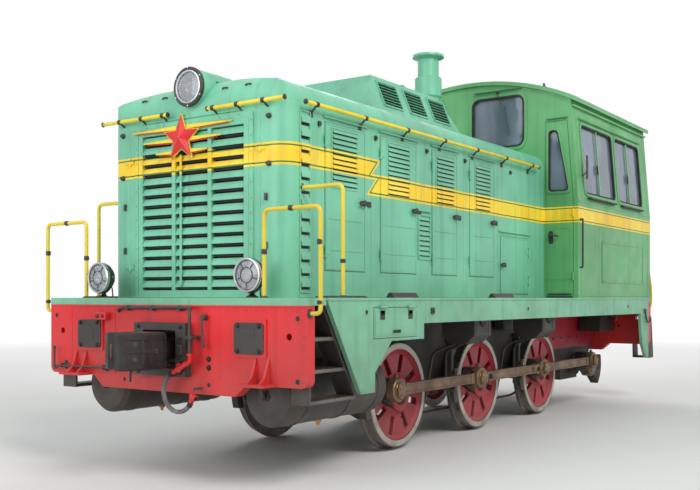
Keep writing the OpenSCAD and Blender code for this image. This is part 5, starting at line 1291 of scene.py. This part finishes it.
soot = paint("stack_soot", rgb(34, 32, 30), tone=0.3, streaks=0, dust=0, gloss=0.8, wear=0)
p = Piece("stack_trim", "root", "hood_paint", hood_paint, soot, black)
p.turn = Matrix.Translation((-0.20, 0, 0))
p.lathe([(0.0752, 4.49), (0.0735, 4.49), (0.0735, 4.17), (0.0752, 4.17)], (0, 0, 0), "z", 1, 40, closed=True)
for z in (3.99, 4.21):
    p.ring((0, 0, z - 0.012), "z", 0.13, 0.158, 0.024, 0, 44)
for a, b in circle(0, 0, 0.208, 8, 22.5):
    p.bolt((a, b, 3.628), "z", 0.011, 0.01, 2)
p.ring((0, 0, 3.594), "z", 0.18, 0.235, 0.034, 0, 48)
p.done()

HORN_Y, HORN_Z = 0.07, 3.92
p = Piece("horn_pair", "root", "black_paint", black, brass, iron)
for y in (-HORN_Y, HORN_Y):
    bell = [(0.066, 0), (0.070, 0.004), (0.0695, 0.01), (0.058, 0.03), (0.045, 0.055), (0.034, 0.09), (0.026, 0.13),
            (0.021, 0.17), (0.0175, 0.24), (0.0165, 0.3), (0.03, 0.303), (0.0335, 0.31), (0.0335, 0.35),
            (0.028, 0.359), (0, 0.36), (0, 0.3), (0.012, 0.29), (0.016, 0.17), (0.03, 0.085), (0.053, 0.032),
            (0.064, 0.008)]
    p.lathe(bell, (0.56, y, HORN_Z), "x", 0, 32, sign=-1)
    p.disc((0.2385, y, HORN_Z), "x", 0.036, 0.012, 1, 24, 0.003)
p.box((0.328, -0.095, 3.83), (0.372, 0.095, 3.842), 2, 0.003)
p.box((0.342, -0.09, 3.84), (0.358, 0.09, 3.905), 2, 0.003)
for y in (-HORN_Y, HORN_Y):
    p.ring((0.342, y, HORN_Z), "x", 0.018, 0.027, 0.016, 2, 20)
p.staple((0.21, -HORN_Y, 3.9), (0.21, HORN_Y, 3.9), (-0.02, 0, -0.03), 0.03, 0.006, 1)
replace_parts(p.done(), "horns")

# ---------- cab ----------

CAB_FRONT, CAB_REAR, BELT_Z, CAB_HW = -1.30, -4.20, 2.73, 1.50
CAB_DOOR_X = -1.295
lean = hypot(0.1, 1.25)
UPPER_WALL = at((0, CAB_HW, BELT_Z), (1, 0, 0), (0, -0.1 / lean, 1.25 / lean), (0, 1.25 / lean, 0.1 / lean))
ROOF_R, ROOF_Z = 3.357, 1.003

p = Piece("cab_trim", "root", "cab_paint", cab_paint, seal, black, chrome)
for mirror in p.sides():
    p.turn = mirror @ UPPER_WALL
    b0, b1 = 0.1, 0.993
    for x0, x1 in ((-2.70, -1.55), (-3.85, -2.80)):
        mid = (x0 + x1) / 2
        p.rim(x0 - 0.028, b0 - 0.028, x1 + 0.028, b1 + 0.028, 0.1, 0.032, 0.075, -0.001, 0.012)
        p.rim(x0 + 0.006, b0 + 0.006, x1 - 0.006, b1 - 0.006, 0.074, 0.02, 0.06, -0.02, 0.006, 1)
        p.box((mid - 0.014, b0 + 0.02, -0.014), (mid + 0.014, b1 - 0.02, 0.002), 0, 0.004)
        p.box((mid + 0.03, b0 + 0.3, -0.012), (mid + 0.05, b0 + 0.42, 0.01), 2, 0.004)
        # Drip rail over the window and arm rest below
        p.prism([(b1 + 0.05, -0.001), (b1 + 0.05, 0.03), (b1 + 0.056, 0.034), (b1 + 0.062, 0.026),
                 (b1 + 0.078, -0.001)], "x", x0 - 0.05, x1 + 0.05, 0)
        p.strip(x0 + 0.08, b0 - 0.062, x1 - 0.08, b0 - 0.04, 0.055, 2, 0.006)
    for x in (-1.42, -2.75, -4.08):
        seam(p, x, 0.03, 1.19, row=(0.018, 0.08, 0.12, 10))
    # Long gutter under the eaves
    p.prism([(1.185, -0.001), (1.18, 0.03), (1.2, 0.036), (1.203, 0.03), (1.192, 0.025), (1.21, -0.001)],
            "x", -4.18, -1.32, 0)
    # Lower wall: belt moulding, blank plate and seams
    p.turn = mirror @ side_plane(CAB_HW)
    p.strip(-4.195, 2.715, -1.305, 2.74, 0.006, 0, 0.002)
    for x in (-1.42, -2.03, -4.08):
        seam(p, x, 1.56, 2.44, row=(0.018, 1.6, 0.1, 9))
    p.strip(-4.19, 1.54, -1.31, 1.56, 0.005, 0, 0.002)
    p.plate(-3.86, 1.72, -2.14, 2.27, 0.03, 0.005, 0, 0.002)
    p.rim(-3.86, 1.72, -2.14, 2.27, 0.03, 0.03, 0.02, 0.004, 0.009)
    for a in (-3.82, -3.4, -3.0, -2.6, -2.18):
        for b in (1.745, 2.245):
            p.bolt((a, b, 0.008), "z", 0.008, 0.006)
    # Grab bars beside the doors and mirror arms
    p.staple((-1.37, 2.5, 0), (-1.37, 1.9, 0), (0, 0, 0.035), 0.02, 0.011, 2, 12)
    p.tube(bend([(-1.5, 3.05, -0.02), (-1.47, 3.1, 0.05), (-1.45, 3.12, 0.06)], 0.02), 0.007, 2, 8)
    p.prism(rounded(-1.475, 3.0, -1.425, 3.3, 0.02), "z", 0.052, 0.066, 2, 0.005)

# Front and rear windows: seals, wipers and shades
z0, z1 = 3.46, 4.14
for plane, windows in ((front_plane(CAB_FRONT), ((0.03, 0.79), (-1.0, -0.45))),
                       (rear_plane(CAB_REAR), ((0.06, 0.72), (-0.72, -0.06)))):
    p.turn = plane
    for y0, y1 in windows:
        p.rim(y0 - 0.03, z0 - 0.03, y1 + 0.03, z1 + 0.03, 0.135, 0.034, 0.108, -0.001, 0.012)
        p.rim(y0 + 0.006, z0 + 0.006, y1 - 0.006, z1 - 0.006, 0.106, 0.024, 0.085, -0.02, 0.007, 1)
        pivot = ((y0 + y1) / 2, z1 + 0.045)
        p.disc((*pivot, -0.001), "z", 0.018, 0.03, 2, 16)
        tip = (pivot[0] + 0.12, z1 - 0.32)
        p.tube([(*pivot, 0.026), ((pivot[0] + tip[0]) / 2, (pivot[1] + tip[1]) / 2, 0.024), (*tip, 0.012)],
               [0.006, 0.005, 0.004], 2, 8)
        p.tube([(tip[0] - 0.03, tip[1] + 0.2, 0.006), (tip[0] + 0.04, tip[1] - 0.2, 0.006)], 0.006, 2, 6)
        p.prism([(z1 + 0.07, -0.001), (z1 + 0.066, 0.05), (z1 + 0.07, 0.052), (z1 + 0.082, -0.001)],
                "x", y0 + 0.05, y1 - 0.05, 0)
p.turn = front_plane(CAB_FRONT)
for s in (-1, 1):
    # Visor over each door, door sill and the seams of the front wall
    p.prism([(3.772, -0.001), (3.765, 0.04), (3.769, 0.043), (3.79, -0.001)], "x", min(s * 1.09, s * 1.37),
            max(s * 1.09, s * 1.37), 0)
    p.box((min(s * 1.09, s * 1.43), 1.522, -0.001), (max(s * 1.09, s * 1.43), 1.538, 0.03), 2, 0.004)
    rivets(p, [(s * (0.12 + k * 0.13), 3.435) for k in range(7)], 0.006, 0.003)
p.turn = rear_plane(CAB_REAR)
# Rear wall: seams, a blank hatch with clips, vent louvres and steps' grab bars
for y in (-1.0, 0.0, 1.0):
    seam(p, y, 1.56, 3.38, row=(0.018, 1.62, 0.12, 15))
p.plate(-0.72, 1.75, -0.12, 2.4, 0.03, 0.008, 0, 0.003)
for b in (1.85, 2.3):
    knob(p, -0.17, b, 2)
p.rim(0.15, 1.75, 0.75, 2.4, 0.03, 0.025, 0.015, -0.001, 0.01)
# The vent louvres' slots are backed with black paint: painted shade
louvres(p, 0.18, 0.72, 1.78, 2.37, 10, 0.02, 0, 2)
for s in (-1, 1):
    p.staple((s * 1.2, 2.6, 0), (s * 1.2, 2.1, 0), (0, 0, 0.045), 0.02, 0.011, 2, 12)
    p.plate(s * 0.62 - 0.09, 2.62, s * 0.62 + 0.09, 2.78, 0.02, 0.012, 2, 0.003)
p.strip(-1.495, 1.54, 1.495, 1.56, 0.005, 0, 0.002)

# Roof ribs, vent and lifting eyes
p.turn = Matrix()
rib = arc(0, ROOF_Z, ROOF_R + 0.006, 66.5, 113.5, 28) + arc(0, ROOF_Z, ROOF_R - 0.004, 113.5, 66.5, 28)
for x in (-1.62, -2.4, -3.18, -3.78):
    p.prism(rib, "x", x - 0.014, x + 0.014)
for y in (-1.0, 1.0):
    for x in (-1.42, -4.0):
        z = ROOF_Z + (ROOF_R ** 2 - y * y) ** 0.5
        p.box((x - 0.05, y - 0.03, z - 0.02), (x + 0.05, y + 0.03, z + 0.012), 2, 0.004)
        p.staple((x - 0.025, y, z), (x + 0.025, y, z), (0, 0, 0.05), 0.02, 0.008, 2)
z = ROOF_Z + ROOF_R
p.lathe([(0, z - 0.02), (0.11, z - 0.02), (0.11, z + 0.03), (0.17, z + 0.045), (0.165, z + 0.06), (0.12, z + 0.085),
         (0.05, z + 0.1), (0, z + 0.102)], (-2.78, 0, 0), "z", 0, 36)
# Tow hook at the rear corner of the skirt
for mirror in p.sides():
    p.turn = mirror @ side_plane(CAB_HW)
    p.strip(-4.0, 1.3, -3.9, 1.36, 0.012, 2, 0.004)
    p.tube(bend([(-3.95, 1.33, 0.01), (-3.95, 1.2, 0.025), (-4.0, 1.16, 0.03), (-4.1, 1.17, 0.03),
                 (-4.13, 1.24, 0.03)], 0.05), 0.012, 2, 10)
p.done()

for mirror, word in SIDES:
    p = Piece(f"cab_door_trim_{word}", f"cab_door_{word}", "cab_paint", cab_paint, seal, black)
    p.turn = mirror @ front_plane(CAB_DOOR_X)
    opening = [(1.11, 2.85), (1.39, 2.85), (1.238, 3.63), (1.11, 3.63)]

    def soft(d, r):
        shape = inset(opening, d)
        path = bend([Vector((*q, 0)) for q in [shape[-1], *shape, shape[0]]], r, 5)
        return [(v.x, v.y) for v in path[1:-1]]

    p.frame(soft(-0.024, 0.07), soft(0.003, 0.055), "z", -0.001, 0.011, 0)
    p.frame(soft(0.0035, 0.055), soft(0.022, 0.045), "z", -0.02, 0.006, 1)
    p.rim(1.1, 1.58, 1.41, 2.4, 0.03, 0.015, 0.02, -0.001, 0.004)
    p.strip(1.1, 1.745, 1.42, 1.757, 0.004, 0, 0.002)
    # Handle with its plate, lock and foot strip
    p.plate(1.115, 2.2, 1.175, 2.36, 0.02, 0.006, 2, 0.002)
    p.lathe([(0.0205, 0), (0.026, 0.004), (0.022, 0.012), (0.022, 0.038), (0.026, 0.044), (0, 0.046)],
            (1.145, 2.3, 0), "z", 2, 20)
    p.tube(bend([(1.145, 2.3, 0.038), (1.19, 2.3, 0.042), (1.26, 2.29, 0.036)], 0.02), 0.01, 2, 10)
    p.disc((1.145, 2.23, 0.004), "z", 0.009, 0.004, 2, 12)
    p.strip(1.1, 1.56, 1.42, 1.572, 0.012, 2, 0.003)
    p.done()

# ---------- grille ----------

p = Piece("grille_panels", "root", "hood_paint", hood_paint, painted_gap_shade, black)
p.turn = front_plane(GRILLE_X)
p.frame(rounded(-0.6585, 1.531, 0.6585, 3.0295, 0.01), rounded(-0.604, 1.586, 0.604, 2.974, 0.006), "z", -0.035, 0.027)
# Dark sheet behind the louvres: painted shade in the grille's depth
p.box((-0.62, 1.57, -0.034), (0.62, 2.99, -0.03), 1, 0.001)
for x in (-0.215, 0.215):
    p.box((x - 0.022, 1.58, -0.03), (x + 0.022, 2.98, 0.029), 0, 0.004)
    for k in range(11):
        p.bolt((x, 1.64 + k * 0.127, 0.028), "z", 0.006, 0.005)
for x0, x1 in ((-0.604, -0.237), (-0.193, 0.193), (0.237, 0.604)):
    louvres(p, x0, x1, 1.59, 2.97, 15, 0.026)
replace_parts(p.done(), "front_grille")

# ---------- skirts, lids and steps ----------

SKIRT_Y, LID_Y = 1.50, 1.505
for mirror, word in SIDES:
    p = Piece(f"lid_trim_{word}", f"locker_lid_{word}", "skirt_paint", skirt_paint, black, painted_gap_shade)
    p.turn = mirror @ side_plane(LID_Y)
    p.rim(2.62, 1.195, 3.295, 1.42, 0.015, 0.014, 0.01, -0.001, 0.003)
    # Dark plate inside the small rim: painted shade in the grip recess
    p.plate(2.89, 1.215, 3.025, 1.245, 0.013, 0.0015, 2, 0.0005)
    p.rim(2.882, 1.207, 3.033, 1.253, 0.02, 0.009, 0.012, -0.001, 0.006)
    for x in (2.73, 3.185):
        p.strip(x - 0.035, 1.335, x + 0.035, 1.415, 0.006, 1, 0.003)
        for b in (1.35, 1.378):
            p.bolt((x, b, 0.005), "z", 0.007, 0.005, 1)
    p.done()

p = Piece("skirt_trim", "root", "skirt_paint", skirt_paint, black, painted_gap_shade, crimson, tread)
for mirror in p.sides():
    p.turn = mirror @ side_plane(SKIRT_Y)
    p.strip(-4.12, 1.495, 3.96, 1.519, 0.008, 0, 0.003)
    rivets(p, [(-4.05 + k * 0.2, 1.475) for k in range(40)], 0.007, 0.004)
    for x in (2.45, -1.05, -2.6):
        seam(p, x, 1.31, 1.49)
    # The dark discs on the plate and inside the collars are painted shade standing for openings
    p.plate(2.3, 1.37, 2.36, 1.43, 0.012, 0.014, 1, 0.003)
    p.disc((2.33, 1.40, 0.013), "z", 0.012, 0.008, 2, 16)
    for x in (3.42, 0.2, -3.2):
        p.ring((x, 1.40, -0.001), "z", 0.02, 0.03, 0.005, 0, 20)
        p.disc((x, 1.40, -0.002), "z", 0.02, 0.0032, 2, 20, 0.0005)
    # Treads with bright worn edges and raised bars
    p.turn = mirror
    for x0, z in ((3.515, 0.72), (3.66, 0.96), (3.812, 1.21)):
        p.box((x0, 1.43, z - 0.024), (4.118, 1.4515, z + 0.0015), 4, 0.002)
        p.box((x0, 1.272, z - 0.001), (4.118, 1.43, z + 0.0012), 1, 0.0005)
        for k in range(int((4.1 - x0) / 0.04)):
            p.box((x0 + 0.012 + k * 0.04, 1.285, z), (x0 + 0.024 + k * 0.04, 1.425, z + 0.0045), 4, 0.001)
    p.box((-4.44, 1.235, 0.636), (-4.26, 1.455, 0.6415), 1, 0.001)
    # Stiffeners behind the skirt, seen through the arch
    for x in (-0.75, 0.98, -2.5):
        p.prism([(1.455, 1.36), (1.455, 1.459), (1.25, 1.459)], "x", x - 0.006, x + 0.006, 0)
    p.tube(bend([(3.3, 1.38, 1.43), (3.1, 1.38, 1.40), (-2.9, 1.38, 1.40), (-3.2, 1.36, 1.36), (-3.25, 1.3, 1.2)],
                0.08), 0.016, 1, 12)
    for k in range(6):
        x = 2.3 - k * 1.0
        p.box((x - 0.015, 1.355, 1.375), (x + 0.015, 1.405, 1.459), 1, 0.003)
p.done()

# ---------- running gear ----------

TANK_Y, TANK_Z = 0.95, 0.73
p = Piece("running_gear_trim", "root", "black_paint", black, iron, tread, crimson, brass)
for _ in p.sides():
    # Crimson frame plates at the rear, with their bolt rows
    p.prism([(-4.12, 0.915), (-3.9, 0.80), (-2.35, 0.80), (-2.35, 1.45), (-4.12, 1.45)], "y", 0.6405, 0.652, 3, 0.003)
    for x in (-4.05, -3.75, -3.45, -3.15, -2.85, -2.55):
        for z in (1.40, 0.95):
            p.bolt((x, 0.652, z), "y", 0.013, 0.012)
    # Equipment box under the cab: lid seam and clips
    p.frame(rounded(-4.04, 1.3, -3.58, 1.44, 0.01), rounded(-4.02, 1.32, -3.6, 1.42, 0.006), "y", 0.999, 1.008, 0)
    for x in (-3.95, -3.67):
        p.box((x - 0.02, 0.999, 1.24), (x + 0.02, 1.016, 1.32), 2, 0.004)
    # Tank bands, seams and drain taps
    for x in (2.78, 3.2, 3.8):
        p.ring((x - 0.02, TANK_Y, TANK_Z), "x", 0.2602, 0.267, 0.04, 0, 56)
        p.bolt((x, TANK_Y, 0.997), "z", 0.012, 0.012, 1)
    p.tube([(2.72, TANK_Y, 0.471), (3.95, TANK_Y, 0.471)], 0.006, 0, 8)
    p.lathe([(0, 0), (0.03, 0), (0.03, -0.02), (0.014, -0.026), (0.014, -0.05), (0, -0.052)], (3.35, TANK_Y, 0.472),
            "z", 4, 16)
    for x, s in ((2.6, -1), (4.05, 1)):
        p.lathe([(0, -0.004), (0.045, -0.004), (0.045, 0.008), (0.02, 0.012), (0.02, 0.026), (0, 0.028)],
                (x, TANK_Y, TANK_Z), "x", 1, 6, sign=s)
        p.ring((x - 0.002 * s, TANK_Y, TANK_Z), "x", 0.1, 0.106, 0.004, 0, 40, sign=s)
    p.tube(bend([(4.075, TANK_Y, TANK_Z), (4.1, 0.95, 0.75), (4.1, 0.95, 1.2), (4.09, 0.9, 1.4)], 0.06), 0.012, 0, 12)
    p.tube(bend([(2.57, TANK_Y, TANK_Z), (2.53, 0.95, 0.76), (2.53, 0.97, 1.1), (2.53, 0.9, 1.45)], 0.06), 0.012, 0, 12)
    # Sand boxes: filler lids, straps, pipes down to the rails
    for xs, wheel in ((0.985, 1.86), (0.985, 0.11), (-0.765, 0.11), (-0.765, -1.64)):
        s = 1 if wheel > xs else -1
        p.tube(bend([(xs + s * 0.1, 1.1, 1.05), (xs + s * 0.12, 0.98, 1.0), (xs + s * 0.14, 0.82, 0.94),
                     (xs + s * 0.2, 0.79, 0.6), (wheel - s * 0.56, 0.79, 0.34), (wheel - s * 0.47, 0.785, 0.16)],
                    0.08), 0.015, 0, 12)
        p.lathe([(0.013, 0), (0.024, 0), (0.024, 0.03), (0.018, 0.04), (0.013, 0.04)], (xs + s * 0.1, 1.1, 1.02),
                "z", 1, 12, closed=True)
        p.box((xs + s * 0.18 - 0.02, 0.655, 0.63), (xs + s * 0.18 + 0.02, 0.8, 0.645), 0, 0.003)
    for xs in (0.985, -0.765):
        p.disc((xs, 1.338, 1.28), "y", 0.062, 0.016, 1, 28, 0.004)
        p.box((xs - 0.08, 1.35, 1.268), (xs + 0.08, 1.362, 1.292), 0, 0.003)
        for d in (-0.14, 0.14):
            p.box((xs + d - 0.015, 1.0, 1.0385), (xs + d + 0.015, 1.3, 1.0405), 0, 0.0005)
            p.box((xs + d - 0.015, 1.338, 1.14), (xs + d + 0.015, 1.3435, 1.455), 0, 0.001)
    for x in AXLE_X.values():
        # Axle boxes, spring hangers and buckle
        for d in (-0.38, 0.38):
            p.tube([(x + d, 0.66, 0.76), (x + d, 0.66, 1.02)], 0.014, 1, 12)
            p.box((x + d - 0.04, 0.641, 1.0), (x + d + 0.04, 0.69, 1.06), 0, 0.004)
            p.bolt((x + d, 0.66, 0.745), "z", 0.018, 0.014, 1)
        # Brake hangers' pins and pull rod
        hx = x + WHEEL_R + 0.0825
        for b in (1.36, 0.70, 0.533):
            p.disc((hx, 0.835, b), "y", 0.022, 0.022, 1, 18, 0.003)
            p.bolt((hx, 0.855, b), "y", 0.01, 0.008, 1)
        p.box((hx - 0.03, 0.775, 1.40), (hx + 0.03, 0.845, 1.459), 0, 0.004)
    p.tube(bend([(2.43, 0.70, 0.50), (1.9, 0.70, 0.29), (-1.1, 0.70, 0.29), (-2.2, 0.70, 0.6), (-2.3, 0.66, 0.8)],
                0.1), 0.014, 1, 12)
    # Mechanical lubricator and its fine pipes on the frame
    p.box((-0.86, 0.66, 1.12), (-0.66, 0.8, 1.28), 0, 0.012)
    for k in range(4):
        p.tube(bend([(-0.83 + k * 0.045, 0.73, 1.28), (-0.83 + k * 0.045, 0.73, 1.33 + k * 0.015),
                     (0.2 + k * 0.4, 0.72, 1.34 + k * 0.015), (0.2 + k * 0.4, 0.68, 1.2)], 0.03), 0.005, 4, 6)
p.done()

# ---------- seats and desk ----------


def cushion(name, centre, half, grows, channels):
    """A crowned closed cushion with piping and sewn channels. grows is the axis its cover bulges along."""
    mesh = bpy.data.meshes.new(name)
    solid = bmesh.new()
    bmesh.ops.create_cube(solid, size=2)
    bmesh.ops.subdivide_edges(solid, edges=solid.edges, cuts=23, use_grid_fill=True)
    across = [i for i in range(3) if i != grows[0]]
    for vert in solid.verts:
        place = vert.co.copy()
        # A cube with well rounded edges, drawn in a little at the middle of its sides
        place /= sum(abs(c) ** 7 for c in place) ** (1 / 7)
        u, v, t = place[across[0]], place[across[1]], place[grows[0]] * grows[1]
        crown = (1 - abs(u) ** 2.4) * (1 - abs(v) ** 2.4)
        for i in across:
            place[i] *= 0.955 - 0.03 * (1 - abs(place[across[1 - across.index(i)]]) ** 4)
        # The cover is crowned, sewn down along its channels and slightly uneven; the back is flat
        if t > 0:
            lift = t * (0.72 + 0.26 * crown)
            for row in channels:
                lift -= 0.17 * t * max(0.0, 1 - abs(u - row) / 0.07) ** 1.5 * (1 - abs(v) ** 6)
            lift += 0.018 * t * sin(9 * v + 4 * u) * crown
            place[grows[0]] = lift * grows[1]
        else:
            place[grows[0]] *= 0.96
        vert.co = Vector(c + p * h for c, p, h in zip(centre, place, half))
    solid.to_mesh(mesh)
    solid.free()
    mesh.materials.append(seat_leather)
    mesh.shade_smooth()
    made = bpy.data.objects.new(name, mesh)
    bpy.context.scene.collection.objects.link(made)
    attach(made, "root")
    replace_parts(made, "driver_seats")


SEAT_X = -2.55
for y, word in ((-0.62, "right"), (0.56, "left")):
    cushion("seat_pan_" + word, (SEAT_X + 0.01, y, 1.998), (0.222, 0.218, 0.042), (2, 1), (-0.5, 0.0, 0.5))
    cushion("seat_back_" + word, (SEAT_X - 0.257, y, 2.31), (0.042, 0.21, 0.25), (0, 1), (-0.5, 0.0, 0.5))
    p = Piece("seat_frame_" + word, "root", "lamp_metal", black, chrome, seat_leather)
    p.turn = Matrix.Translation((SEAT_X, y, 0))
    p.lathe([(0, 1.5205), (0.058, 1.5205), (0.058, 1.535), (0.04, 1.55), (0.032, 1.6), (0.032, 1.84), (0.045, 1.87),
             (0.058, 1.9), (0.058, 1.938), (0, 1.938)], (0, 0, 0), "z", 0, 28)
    p.prism(rounded(-0.21, -0.2, 0.215, 0.2, 0.05), "z", 1.94, 1.957, 0, 0.004)
    p.box((-0.3, -0.2, 2.03), (-0.29, 0.2, 2.55), 0, 0.003)
    # Chrome back stays and piping along the pan's edges
    for s in (-1, 1):
        p.tube(bend([(-0.12, s * 0.15, 1.948), (-0.285, s * 0.15, 1.952), (-0.292, s * 0.15, 2.0),
                     (-0.295, s * 0.15, 2.5)], 0.04), 0.0045, 1, 10)
        p.tube([(0.222 * 0.94 * c + 0.01, s * 0.205, 1.998) for c in (-1, -0.3, 0.3, 1)], 0.004, 2, 8)
    p.tube([(-0.2, -0.205, 1.998), (-0.2, 0, 1.998), (-0.2, 0.205, 1.998)], 0.004, 2, 8)
    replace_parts(p.done(), "driver_seats")

DESK_REAR_X = -1.84
p = Piece("desk_controls", "root", "desk_paint", desk_paint, black, chrome, lens, yellow, star_red)
top = hypot(0.38, 0.12)
p.turn = at((-1.78, 0, 2.44), (0, 1, 0), (0.38 / top, 0, 0.12 / top), (-0.12 / top, 0, 0.38 / top))
p.rim(0.165, 0.015, 0.985, 0.385, 0.02, 0.015, 0.014, -0.001, 0.008)
for k in range(5):
    y = 0.26 + k * 0.15
    p.ring((y, 0.29, -0.001), "z", 0.046, 0.055, 0.014, 2, 28)
    p.disc((y, 0.29, -0.001), "z", 0.046, 0.006, 1, 28, 0.001)
    p.disc((y, 0.29, 0.004), "z", 0.007, 0.004, 4, 12, 0.001)
    p.box((y - 0.0015, 0.29, 0.0052), (y + 0.0015, 0.325, 0.0065), 4, 0.0003)
    for a, b in circle(y, 0.29, 0.038, 12):
        p.box((a - 0.0015, b - 0.0015, 0.005), (a + 0.0015, b + 0.0015, 0.0062), 4, 0.0003)
for k in range(8):
    y = 0.5 + k * 0.055
    p.disc((y, 0.17, -0.001), "z", 0.012, 0.014, 5 if k % 3 == 0 else 1, 14, 0.003)
    p.lathe([(0.009, 0), (0.011, 0), (0.011, 0.01), (0, 0.016)], (y, 0.09, 0), "z", 2, 12)
# Controller wheel on its column, and two brake levers
p.lathe([(0, 0), (0.05, 0), (0.045, 0.02), (0.02, 0.03), (0.016, 0.09), (0, 0.092)], (0.33, 0.13, 0), "z", 1, 24)
p.tube([(*q, 0.095) for q in circle(0.33, 0.13, 0.1, 24)], 0.009, 1, 8, closed=True)
for q in circle(0.33, 0.13, 0.098, 3):
    p.tube([(0.33, 0.13, 0.085), (*q, 0.094)], 0.006, 2, 8)
for y in (0.92, 0.86):
    p.disc((y, 0.06, -0.001), "z", 0.022, 0.012, 1, 18)
    p.tube(bend([(y, 0.06, 0.01), (y, 0.06, 0.07), (y - 0.03, 0.02, 0.12)], 0.02), 0.006, 2, 8)
    p.disc((y - 0.03, 0.02, 0.112), "z", 0.014, 0.026, 1, 14, 0.005)
p.turn = rear_plane(DESK_REAR_X)
for y0, y1 in ((0.18, 0.565), (0.585, 0.97)):
    p.rim(y0, 1.6, y1, 2.33, 0.02, 0.01, 0.015, -0.001, 0.005)
for y in (0.52, 0.63):
    knob(p, y, 2.0, 2)
p.done()
